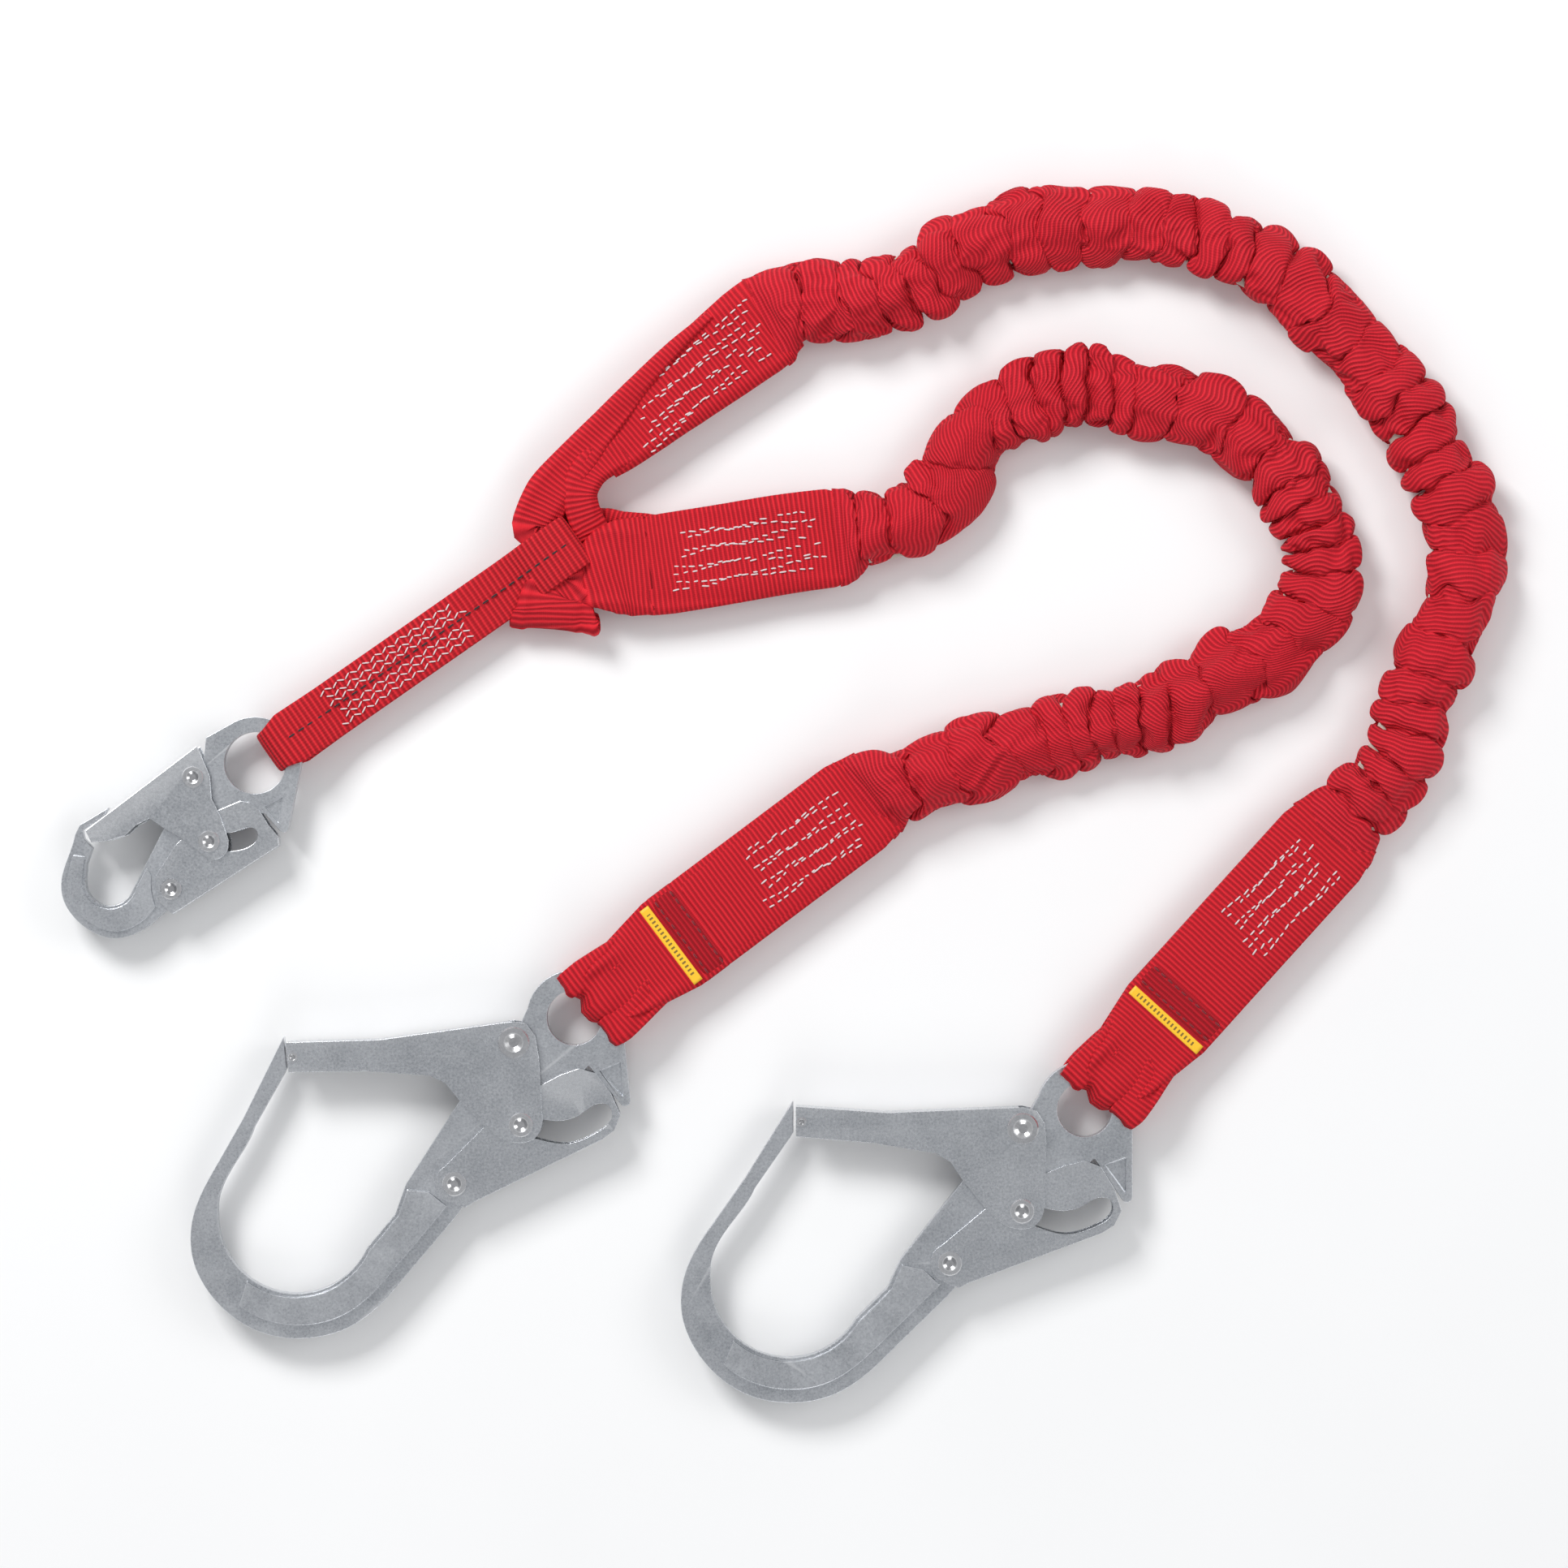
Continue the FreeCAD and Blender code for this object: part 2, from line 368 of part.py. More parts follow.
def junction_loop(label, rise, left, right, splice_at, splice_turn, splice_length):
    """Leg end looped through the strap: a round bar inside the strap's loop, two flat strands round the strap's tip, and the sewn splice."""
    b = new_body(label, FreeCAD.Placement(STRAP.multVec(V(0, 0, 0)) - V(0, 0, 0), FreeCAD.Rotation(V(0, 0, 1), strap_turn)))
    sx = L - 10.0
    bar = b.newObject("PartDesign::AdditiveCylinder", label + "_bar")
    bar.Radius = S["bar_radius"]
    bar.setExpression("Radius", "Sizes.bar_radius")
    bar.Height = 36.0
    bar.Placement = FreeCAD.Placement(V(sx, 18.0, rise), FreeCAD.Rotation(V(0, 0, 1), V(0, -1, 0)))
    inv = b.Placement.inverse()

    def local(p):
        q = inv.multVec(V(p[0], p[1], MID))
        return q.x, q.y
    for i, path in enumerate((left, right)):
        pts = [(sx + 1.4, 16.2 if i == 0 else -16.2)] + [local(p) for p in path]
        w = 3.4
        a_side, b_side = [], []
        for k, p in enumerate(pts):
            q = pts[min(k + 1, len(pts) - 1)]
            o = pts[max(k - 1, 0)]
            dx, dy = q[0] - o[0], q[1] - o[1]
            n = math.hypot(dx, dy)
            a_side.append((p[0] - dy / n * w, p[1] + dx / n * w))
            b_side.append((p[0] + dy / n * w, p[1] - dx / n * w))
        feature(b, "Pad", f"{label}_strand_{i}", sketch(b, f"{label}_strand_sketch_{i}", [a_side + b_side[::-1]], offset=rise), "ring_thick")
    c = local(splice_at)
    t = math.radians(splice_turn - strap_turn)
    ux, uy = math.cos(t), math.sin(t)
    half = S["leg_width"] / 2 - 0.5
    corner = [(0, -half + 6), (6, -half), (splice_length, -half), (splice_length, half), (6, half), (0, half - 6)]
    o = [(c[0] + x * ux - y * uy, c[1] + x * uy + y * ux) for x, y in corner]
    feature(b, "Pad", label + "_splice", sketch(b, label + "_splice_sketch", [o]), "splice_thick")
    return b


def resample(points, step=1.0):
    """Even points along a smooth curve through the given ones."""
    curve = Part.BSplineCurve()
    curve.interpolate([V(x, y, 0) for x, y in points])
    count = max(8, int(curve.length() / step))
    return curve, [curve.value(u) for u in [curve.parameterAtDistance(curve.length() * i / count, curve.FirstParameter) for i in range(count + 1)]]


def pipe(body, name, kind, spine, start, tangent, a_alias, b_alias, shrink="0"):
    s = body.newObject("Sketcher::SketchObject", name + "_section")
    turn = math.degrees(math.atan2(tangent.y, tangent.x))
    s.Placement = FreeCAD.Placement(start, FreeCAD.Rotation(V(0, 0, 1), turn).multiply(FreeCAD.Rotation(V(0, 0, 1), 90)).multiply(FreeCAD.Rotation(V(1, 0, 0), 90)))
    r = float(shrink) if shrink in ("0",) else S[shrink]
    a, h = S[a_alias] - r, S[b_alias] - r
    s.addGeometry(Part.Ellipse(V(0, 0, 0), a, h), False)
    f = body.newObject(f"PartDesign::{kind}", name)
    f.Profile = s
    f.Spine = spine
    s.Visibility = False
    return f


def sleeve(label, core_label, points):
    """A gathered sleeve segment as a tube along its path, with a flat elastic core inside it."""
    curve = Part.BSplineCurve()
    curve.interpolate([V(p.x, p.y, 0) for p in points])
    start, tangent = curve.value(curve.FirstParameter), curve.tangent(curve.FirstParameter)[0]
    for lab, kinds in ((label, (("AdditivePipe", "sleeve_half_width", "sleeve_half_height", "0"), ("SubtractivePipe", "sleeve_half_width", "sleeve_half_height", "sleeve_wall"))),
                       (core_label, (("AdditivePipe", "core_half_width", "core_half_height", "0"),))):
        b = new_body(lab, place(0, 0))
        spine = b.newObject("Sketcher::SketchObject", lab + "_path")
        spine.AttachmentSupport = [(plane(b, "XY_Plane"), "")]
        spine.MapMode = "FlatFace"
        spine.addGeometry(curve.copy(), False)
        spine.Visibility = False
        for i, (kind, a, h, r) in enumerate(kinds):
            pipe(b, f"{lab}_{i}", kind, spine, start, tangent, a, h, r)


PATH_A = [(5.3, 216.5), (18.5, 218.5), (35.3, 222.0), (52.3, 228.8), (69.2, 237.1), (88.0, 247.0), (110.5, 254.9), (144.4, 259.9), (178.2, 256.0), (200.8, 248.7), (223.3, 237.3), (245.9, 221.6), (262.8, 203.4), (277.9, 182.7), (293.9, 158.3), (306.0, 133.8), (311.7, 107.5), (308.9, 81.2), (299.6, 56.8), (289.5, 32.3), (279.5, 8.9), (270.2, -5.1), (257.1, -18.5)]
PATH_B = [(31.6, 114.3), (50.4, 117.5), (66.3, 125.3), (77.6, 138.6), (84.5, 154.5), (95.5, 168.9), (112.5, 177.9), (136.8, 181.3), (163.2, 178.9), (189.5, 171.4), (215.8, 157.3), (236.5, 135.7), (247.6, 109.4), (244.6, 86.8), (228.9, 67.0), (200.8, 47.4), (168.8, 33.5), (136.8, 25.8), (110.5, 19.7), (88.0, 11.5), (62.7, 4.5), (43.7, -2.5)]
GAP = 4.0


def leg(side, path, eye, start_label_args):
    _, pts = resample(path)
    total = len(pts) - 1
    marks = [0, int(total * 0.34), int(total * 0.67), total]
    for i in range(3):
        lo = marks[i] + int(GAP if i else GAP)
        hi = marks[i + 1] - int(GAP)
        pick = [pts[lo + round((hi - lo) * k / 9)] for k in range(10)]
        sleeve(f"leg_{side}_sleeve_{i + 1}", f"leg_{side}_core_{i + 1}", pick)
    end = pts[-1]
    turn = turn_to((eye.x, eye.y), (end.x, end.y))
    where = FreeCAD.Placement(V(eye.x, eye.y, MID), FreeCAD.Rotation(V(0, 0, 1), turn))
    length = math.hypot(end.x - eye.x, end.y - eye.y) - 4.0
    leg_loop(f"leg_{side}_hook_loop", FreeCAD.Placement(where), length, None)
    h = S["splice_thick"] / 2 + 0.1
    rectangles(f"leg_{side}_hook_stitching", FreeCAD.Placement(where), [(length - 62 + 9.0 * i, y, 8.0, 0.9, 0.09) for i in range(6) for y in (-16.5, -11, -5.5, 0, 5.5, 11, 16.5)], h, 0.5)
    rectangles(f"leg_{side}_fold_band", FreeCAD.Placement(where), [(66.0, 0, 14.0, 44.0, 0)], h, 1.2)
    rectangles(f"leg_{side}_impact_indicator", FreeCAD.Placement(where), [(55.6, 0, 4.4, 42.0, 0)], h, 0.6, mirrored=False)
    return pts, marks, where


pts_a, marks_a, where_a = leg("a", PATH_A, EYE_A, None)
pts_b, marks_b, where_b = leg("b", PATH_B, EYE_B, None)

A_SPLICE, A_TURN = (-75.5, 161.6), 34.2
B_SPLICE, B_TURN = (-60.0, 104.9), 5.9
junction_loop("leg_a_harness_loop", BAR_RISE, [(-104.5, 135.0), (-96.0, 148.0), (-80.0, 160.0)], [(-82.0, 98.0), (-77.5, 108.0), (-77.0, 122.0), (-76.5, 138.0), (-68.0, 155.0)], A_SPLICE, A_TURN, math.hypot(5.3 + 75.5, 216.5 - 161.6) - 11.0)
junction_loop("leg_b_harness_loop", -BAR_RISE, [(-103.0, 130.5), (-93.0, 132.0), (-81.0, 125.0), (-70.0, 117.0), (-56.0, 114.0)], [(-82.0, 89.5), (-72.0, 90.0), (-56.0, 93.0)], B_SPLICE, B_TURN, math.hypot(31.6 + 60.0, 114.3 - 104.9) - 3.0)
h = S["splice_thick"] / 2 + 0.1
for side, at, turn in (("a", A_SPLICE, A_TURN), ("b", B_SPLICE, B_TURN)):
    where = place(at[0], at[1], turn=turn)
    rectangles(f"leg_{side}_harness_stitching", where, [(14.0 + 9.0 * i, y, 8.0, 0.9, 0.09) for i in range(6) for y in (-16.5, -11, -5.5, 0, 5.5, 11, 16.5)], h, 0.5)

# ---------------------------------------------------------------- check and write
doc.recompute()
for o in doc.Objects:
    bad = [s for s in o.State if s in ("Invalid", "Error")]
    if bad:
        raise RuntimeError(f"{o.Name} is {bad}")
labels = [p.Label for p in parts]
assert len(labels) == len(set(labels)) <= 60, "labels must be unique and at most 60"
os.makedirs("parts", exist_ok=True)
for old in os.listdir("parts"):
    os.remove(os.path.join("parts", old))
lowest = 1e9
for p in parts:
    shape = p.Shape
    if shape.isNull() or not shape.isValid() or shape.Volume < 0.05:
        raise RuntimeError(f"{p.Label} has no valid solid")
    lowest = min(lowest, shape.BoundBox.ZMin)
    shape.exportStep(f"parts/{p.Label}.step")
print(len(parts), "nodes; lowest point", round(lowest, 3))
for name, pts, marks in (("a", pts_a, marks_a), ("b", pts_b, marks_b)):
    for m in marks:
        p, q, o = pts[m], pts[min(m + 1, len(pts) - 1)], pts[max(m - 1, 0)]
        d = (q - o)
        d.normalize()
        print("joint", name, round(p.x, 3), round(p.y, 3), "direction", round(d.x, 5), round(d.y, 5))
print("eyes", EYE_A, EYE_B, EYE_S, "junction", JUNCTION, "strap turn", round(strap_turn, 4))
print("hook loop placements", where_a, where_b)
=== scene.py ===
import bpy
import bmesh
import json
import math
import random
import numpy as np
from mathutils import Vector, Matrix, noise


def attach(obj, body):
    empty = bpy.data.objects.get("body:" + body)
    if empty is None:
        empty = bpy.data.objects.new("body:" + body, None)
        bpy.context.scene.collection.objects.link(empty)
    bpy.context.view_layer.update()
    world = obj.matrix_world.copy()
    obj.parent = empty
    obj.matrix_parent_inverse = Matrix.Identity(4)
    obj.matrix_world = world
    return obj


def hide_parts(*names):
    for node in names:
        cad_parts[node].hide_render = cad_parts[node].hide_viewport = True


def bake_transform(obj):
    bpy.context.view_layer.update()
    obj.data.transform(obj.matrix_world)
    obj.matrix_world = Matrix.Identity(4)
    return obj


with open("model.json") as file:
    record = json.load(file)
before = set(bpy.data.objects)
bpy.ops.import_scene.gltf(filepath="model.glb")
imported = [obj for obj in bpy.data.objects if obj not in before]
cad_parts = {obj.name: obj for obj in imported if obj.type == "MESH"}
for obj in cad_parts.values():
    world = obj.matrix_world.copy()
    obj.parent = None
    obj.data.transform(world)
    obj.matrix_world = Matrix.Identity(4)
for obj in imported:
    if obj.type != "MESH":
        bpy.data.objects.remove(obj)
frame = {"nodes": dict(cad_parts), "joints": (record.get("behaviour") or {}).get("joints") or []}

random.seed(7)
NODES, JOINTS = frame["nodes"], {j["name"]: j for j in frame["joints"]}
MM = 0.001


def whole_box(objs):
    lo, hi = np.full(3, 1e9), np.full(3, -1e9)
    for o in objs:
        n = len(o.data.vertices)
        a = np.empty(n * 3)
        o.data.vertices.foreach_get("co", a)
        a = a.reshape(-1, 3)
        lo, hi = np.minimum(lo, a.min(0)), np.maximum(hi, a.max(0))
    return [[float(v) for v in lo], [float(v) for v in hi]]


CAD_BOX = whole_box(NODES.values())
MIDZ = 0.0125


# ------------------------------------------------------------------ materials
def new_mat(name):
    m = bpy.data.materials.new(name)
    m.use_nodes = True
    nt = m.node_tree
    nt.nodes.clear()
    out = nt.nodes.new("ShaderNodeOutputMaterial")
    b = nt.nodes.new("ShaderNodeBsdfPrincipled")
    nt.links.new(b.outputs[0], out.inputs[0])
    return m, nt, b


def math_node(nt, op, a, b=None, c=None):
    n = nt.nodes.new("ShaderNodeMath")
    n.operation = op
    for i, v in enumerate((a, b, c)):
        if v is None:
            continue
        if isinstance(v, (int, float)):
            n.inputs[i].default_value = v
        else:
            nt.links.new(v, n.inputs[i])
    return n.outputs[0]


def mix_col(nt, fac, a, b):
    n = nt.nodes.new("ShaderNodeMix")
    n.data_type = "RGBA"
    for sock, v in ((n.inputs["Factor"], fac), (n.inputs[6], a), (n.inputs[7], b)):
        if isinstance(v, (int, float)):
            sock.default_value = v
        elif isinstance(v, tuple):
            sock.default_value = (*v, 1.0)
        else:
            nt.links.new(v, sock)
    return n.outputs[2]


def noise_tex(nt, scale, detail=3.0, rough=0.55, vec=None):
    n = nt.nodes.new("ShaderNodeTexNoise")
    n.inputs["Scale"].default_value = scale
    n.inputs["Detail"].default_value = detail
    n.inputs["Roughness"].default_value = rough
    if vec is not None:
        nt.links.new(vec, n.inputs["Vector"])
    return n.outputs["Fac"]


def obj_coord(nt):
    g = nt.nodes.new("ShaderNodeNewGeometry")
    return g.outputs["Position"]


def bump(nt, height, strength, distance, normal=None):
    n = nt.nodes.new("ShaderNodeBump")
    n.inputs["Strength"].default_value = strength
    n.inputs["Distance"].default_value = distance
    nt.links.new(height, n.inputs["Height"])
    if normal is not None:
        nt.links.new(normal, n.inputs["Normal"])
    return n.outputs["Normal"]


def texco(nt):
    n = nt.nodes.new("ShaderNodeTexCoord")
    return n.outputs["Object"]


def webbing(name, base, light, dark, pitch, depth=0.0005, weave=0.9, sheen=0.05):
    m, nt, b = new_mat(name)
    uv = nt.nodes.new("ShaderNodeUVMap")
    uv.uv_map = "fab"
    sep = nt.nodes.new("ShaderNodeSeparateXYZ")
    nt.links.new(uv.outputs[0], sep.inputs[0])
    along, across = sep.outputs[0], sep.outputs[1]
    wob = noise_tex(nt, 60.0, 2.0, vec=texco(nt))
    al = math_node(nt, "ADD", along, math_node(nt, "MULTIPLY", wob, 0.0009))
    wave = math_node(nt, "SINE", math_node(nt, "MULTIPLY", al, 2 * math.pi / pitch))
    rib = math_node(nt, "MULTIPLY_ADD", wave, 0.5, 0.5)
    fine = math_node(nt, "SINE", math_node(nt, "MULTIPLY", across, 2 * math.pi / weave * 1000))
    fine = math_node(nt, "MULTIPLY_ADD", fine, 0.5, 0.5)
    h = math_node(nt, "ADD", rib, math_node(nt, "MULTIPLY", fine, 0.18))
    big = noise_tex(nt, 28.0, 3.0, vec=texco(nt))
    fuzz = noise_tex(nt, 2600.0, 2.0, vec=texco(nt))
    c = mix_col(nt, rib, dark, light)
    c = mix_col(nt, math_node(nt, "MULTIPLY", big, 0.45), c, base)
    c = mix_col(nt, math_node(nt, "MULTIPLY", fuzz, 0.22), c, tuple(min(1, v * 1.5 + 0.02) for v in light))
    nt.links.new(c, b.inputs["Base Color"])
    nt.links.new(math_node(nt, "MULTIPLY_ADD", fuzz, 0.25, 0.52), b.inputs["Roughness"])
    b.inputs["Sheen Weight"].default_value = sheen
    b.inputs["Sheen Tint"].default_value = (1.0, 0.35, 0.38, 1)
    b.inputs["Sheen Roughness"].default_value = 0.4
    b.inputs["Specular IOR Level"].default_value = 0.16
    n1 = bump(nt, h, 0.9, depth)
    nt.links.new(bump(nt, fuzz, 0.25, 0.0001, n1), b.inputs["Normal"])
    return m


RED = webbing("red_webbing", (0.52, 0.004, 0.014), (0.72, 0.018, 0.030), (0.20, 0.002, 0.007), 0.0022)
RED_SLEEVE = webbing("red_sleeve", (0.54, 0.004, 0.016), (0.74, 0.022, 0.038), (0.22, 0.002, 0.008), 0.0023, depth=0.0006)
RED_STRAP = webbing("red_strap", (0.50, 0.004, 0.014), (0.70, 0.022, 0.032), (0.18, 0.002, 0.006), 0.0026, depth=0.0007, weave=1.4)
RED_DARK = webbing("dark_red_webbing", (0.36, 0.003, 0.010), (0.50, 0.010, 0.020), (0.16, 0.002, 0.006), 0.0021)


def thread(name, col, rough=0.6):
    m, nt, b = new_mat(name)
    f = noise_tex(nt, 1800.0, 2.0, vec=texco(nt))
    big = noise_tex(nt, 120.0, 2.0, vec=texco(nt))
    c = mix_col(nt, f, tuple(v * 0.72 for v in col), col)
    c = mix_col(nt, math_node(nt, "MULTIPLY", big, 0.35), c, tuple(v * 0.8 for v in col))
    nt.links.new(c, b.inputs["Base Color"])
    nt.links.new(math_node(nt, "MULTIPLY_ADD", f, 0.2, rough), b.inputs["Roughness"])
    b.inputs["Sheen Weight"].default_value = 0.2
    nt.links.new(bump(nt, f, 0.5, 0.0002), b.inputs["Normal"])
    return m


WHITE = thread("white_thread", (0.86, 0.74, 0.74))
BLACK = thread("black_thread", (0.018, 0.010, 0.014))
RED_THREAD = thread("red_thread", (0.22, 0.004, 0.012))
ELASTIC = thread("elastic_core", (0.62, 0.58, 0.50))


def zinc(name, lo, hi, rough, spread, mottled, bumps=0.00006):
    m, nt, b = new_mat(name)
    t = texco(nt)
    big = noise_tex(nt, 45.0, 5.0, 0.65, t)
    mid = noise_tex(nt, 900.0, 4.0, 0.7, t)
    fine = noise_tex(nt, 2600.0, 2.0, 0.6, t)
    f = math_node(nt, "ADD", math_node(nt, "MULTIPLY", big, mottled), math_node(nt, "MULTIPLY", mid, 1 - mottled))
    ramp = nt.nodes.new("ShaderNodeValToRGB")
    ramp.color_ramp.elements[0].position, ramp.color_ramp.elements[1].position = 0.32, 0.66
    ramp.color_ramp.elements[0].color, ramp.color_ramp.elements[1].color = (*lo, 1), (*hi, 1)
    nt.links.new(f, ramp.inputs[0])
    g = nt.nodes.new("ShaderNodeNewGeometry")
    # painted highlight: pointy convex edges are lightened towards near-white in the base colour
    painted_edge_highlight = math_node(nt, "MULTIPLY", math_node(nt, "SUBTRACT", g.outputs["Pointiness"], 0.5), 6.0)
    painted_edge_highlight = math_node(nt, "MINIMUM", math_node(nt, "MAXIMUM", painted_edge_highlight, 0.0), 0.6)
    c = mix_col(nt, painted_edge_highlight, ramp.outputs[0], (0.92, 0.93, 0.95))
    nt.links.new(c, b.inputs["Base Color"])
    b.inputs["Metallic"].default_value = 1.0
    nt.links.new(math_node(nt, "MULTIPLY_ADD", f, spread, rough), b.inputs["Roughness"])
    n1 = bump(nt, mid, 0.35, bumps * 3)
    nt.links.new(bump(nt, fine, 0.3, bumps, n1), b.inputs["Normal"])
    return m


FORGED = zinc("zinc_forging", (0.38, 0.40, 0.43), (0.72, 0.74, 0.77), 0.19, 0.20, 0.42, 0.00008)
SHEET = zinc("zinc_sheet", (0.35, 0.37, 0.40), (0.70, 0.72, 0.75), 0.17, 0.20, 0.30, 0.00006)
RIVET = zinc("bright_rivet", (0.42, 0.42, 0.43), (0.66, 0.66, 0.67), 0.16, 0.12, 0.5, 0.00002)
SPRING = zinc("spring_steel", (0.10, 0.13, 0.15), (0.20, 0.24, 0.26), 0.30, 0.15, 0.5)


def yellow_tape():
    m, nt, b = new_mat("yellow_tape")
    uv = nt.nodes.new("ShaderNodeUVMap")
    uv.uv_map = "fab"
    sep = nt.nodes.new("ShaderNodeSeparateXYZ")
    nt.links.new(uv.outputs[0], sep.inputs[0])
    t = texco(nt)
    f = noise_tex(nt, 900.0, 3.0, vec=t)
    # a row of plain dark ticks where the real tape carries wording
    ticks = math_node(nt, "GREATER_THAN", math_node(nt, "SINE", math_node(nt, "MULTIPLY", sep.outputs[0], 2 * math.pi / 0.0021)), 0.25)
    band = math_node(nt, "LESS_THAN", math_node(nt, "ABSOLUTE", sep.outputs[1]), 0.00095)
    inside = math_node(nt, "LESS_THAN", math_node(nt, "ABSOLUTE", sep.outputs[0]), 0.0175)
    fac = math_node(nt, "MULTIPLY", math_node(nt, "MULTIPLY", ticks, band), math_node(nt, "MULTIPLY", inside, 0.8))
    c = mix_col(nt, math_node(nt, "MULTIPLY", f, 0.4), (0.93, 0.55, 0.02), (0.80, 0.42, 0.015))
    c = mix_col(nt, fac, c, (0.03, 0.025, 0.02))
    nt.links.new(c, b.inputs["Base Color"])
    nt.links.new(math_node(nt, "MULTIPLY_ADD", f, 0.25, 0.38), b.inputs["Roughness"])
    nt.links.new(bump(nt, f, 0.3, 0.00015), b.inputs["Normal"])
    return m


YELLOW = yellow_tape()


# ------------------------------------------------------------------ mesh helpers
def make_object(name, verts, faces, uvs=None, mat=None, smooth=True):
    me = bpy.data.meshes.new(name)
    me.from_pydata([tuple(v) for v in verts], [], faces)
    me.update()
    if uvs is not None:
        layer = me.uv_layers.new(name="fab")
        idx = np.empty(len(me.loops), dtype=np.int32)
        me.loops.foreach_get("vertex_index", idx)
        layer.data.foreach_set("uv", np.asarray(uvs, dtype=np.float32)[idx].ravel())
    if smooth:
        me.polygons.foreach_set("use_smooth", [True] * len(me.polygons))
    o = bpy.data.objects.new(name, me)
    bpy.context.scene.collection.objects.link(o)
    if mat:
        me.materials.append(mat)
    return o


def grid_tube(name, rings, uv, mat, cap=True):
    """rings: array [n, m, 3]; each ring closed; uv: array [n, m, 2]"""
    rings = np.asarray(rings)
    n, m = rings.shape[:2]
    verts = rings.reshape(-1, 3)
    faces = []
    for i in range(n - 1):
        for j in range(m):
            k = (j + 1) % m
            faces.append((i * m + j, i * m + k, (i + 1) * m + k, (i + 1) * m + j))
    if cap:
        faces.append(tuple(range(m - 1, -1, -1)))
        faces.append(tuple((n - 1) * m + j for j in range(m)))
    o = make_object(name, verts, faces, np.asarray(uv).reshape(-1, 2), mat)
    bm = bmesh.new()
    bm.from_mesh(o.data)
    bmesh.ops.recalc_face_normals(bm, faces=bm.faces)
    bm.to_mesh(o.data)
    bm.free()
    return o


def smooth_path(points, step):
    """Even samples of a Catmull-Rom curve through points (any dimension)."""
    p = np.asarray(points, dtype=float)
    q = np.vstack([2 * p[0] - p[1], p, 2 * p[-1] - p[-2]])
    out = []
    for i in range(1, len(q) - 2):
        for t in np.linspace(0, 1, 24, endpoint=False):
            a, b, c, d = q[i - 1], q[i], q[i + 1], q[i + 2]
            out.append(0.5 * (2 * b + (c - a) * t + (2 * a - 5 * b + 4 * c - d) * t * t + (3 * b - a - 3 * c + d) * t ** 3))
    out.append(p[-1])
    out = np.array(out)
    seg = np.linalg.norm(np.diff(out, axis=0), axis=1)
    s = np.concatenate([[0], np.cumsum(seg)])
    n = max(2, int(round(s[-1] / step)))
    t = np.linspace(0, s[-1], n + 1)
    return np.stack([np.interp(t, s, out[:, k]) for k in range(out.shape[1])], axis=1), t


def stadium(half_w, half_t, m=28, square=3.2):
    """Cross-section of folded webbing: flat faces and tight rounded edges."""
    a = np.linspace(0, 2 * math.pi, m, endpoint=False)
    c, s = np.cos(a), np.sin(a)
    return np.stack([half_w * np.sign(c) * np.abs(c) ** (2 / (square * 1.6)), half_t * np.sign(s) * np.abs(s) ** (2 / square)], axis=1)


def sweep(name, path, width, thick, across, mat, m=28, s0=0.0, lift=None, square=3.2, cap=True):
    """Webbing swept along path. width and thick are functions of the path share; across gives the width direction at each point."""
    path = np.asarray(path)
    n = len(path)
    tan = np.gradient(path, axis=0)
    tan /= np.linalg.norm(tan, axis=1)[:, None]
    seg = np.linalg.norm(np.diff(path, axis=0), axis=1)
    s = np.concatenate([[0], np.cumsum(seg)])
    rings, uv = [], []
    for i in range(n):
        f = s[i] / s[-1]
        w = across(f) if callable(across) else np.asarray(across, dtype=float)
        w = w - tan[i] * np.dot(w, tan[i])
        w /= np.linalg.norm(w)
        b = np.cross(tan[i], w)
        sec = stadium(width(f) / 2, thick(f) / 2, m, square)
        off = np.zeros(m) if lift is None else np.array([lift(f, u) for u in sec[:, 0]])
        rings.append(path[i] + sec[:, :1] * w + (sec[:, 1] + off)[:, None] * b)
        uv.append(np.stack([np.full(m, s0 + s[i]), sec[:, 0]], axis=1))
    return grid_tube(name, rings, uv, mat, cap)


def step(a, b, x):
    t = min(1.0, max(0.0, (x - a) / (b - a)))
    return t * t * (3 - 2 * t)


def curve_of(pairs):
    xs, ys = [p[0] for p in pairs], [p[1] for p in pairs]
    return lambda f: float(np.interp(f, xs, ys))


def pills(name, segs, radius, mat):
    """Short lengths of thread: segs is a list of (p, q, up), each a six-sided rounded pill lying on the webbing."""
    verts, faces, uvs = [], [], []
    for p, q, up in segs:
        p, q, up = np.asarray(p), np.asarray(q), np.asarray(up)
        t = q - p
        ln = np.linalg.norm(t)
        t = t / ln
        side = np.cross(t, up)
        side /= np.linalg.norm(side)
        base = len(verts)
        for f, r, sink in ((0.0, 0.35, -0.7), (0.12, 0.9, 0.0), (0.5, 1.0, 0.25), (0.88, 0.9, 0.0), (1.0, 0.35, -0.7)):
            c = p + t * ln * f + up * radius * sink
            for k in range(6):
                a = k * math.pi / 3
                verts.append(c + (side * math.cos(a) + up * math.sin(a)) * radius * r)
                uvs.append((ln * f, 0))
        for i in range(4):
            for k in range(6):
                l = (k + 1) % 6
                faces.append((base + i * 6 + k, base + i * 6 + l, base + i * 6 + 6 + l, base + i * 6 + 6 + k))
        faces.append(tuple(base + k for k in range(5, -1, -1)))
        faces.append(tuple(base + 24 + k for k in range(6)))
    return make_object(name, verts, faces, uvs, mat)


# ------------------------------------------------------------------ where things are (millimetres, as in the frame)
def turn(p, deg):
    a = math.radians(deg)
    return p[0] * math.cos(a) - p[1] * math.sin(a), p[0] * math.sin(a) + p[1] * math.cos(a)


def on(h, p):
    q = turn(p, h[2])
    return h[0] + q[0], h[1] + q[1]


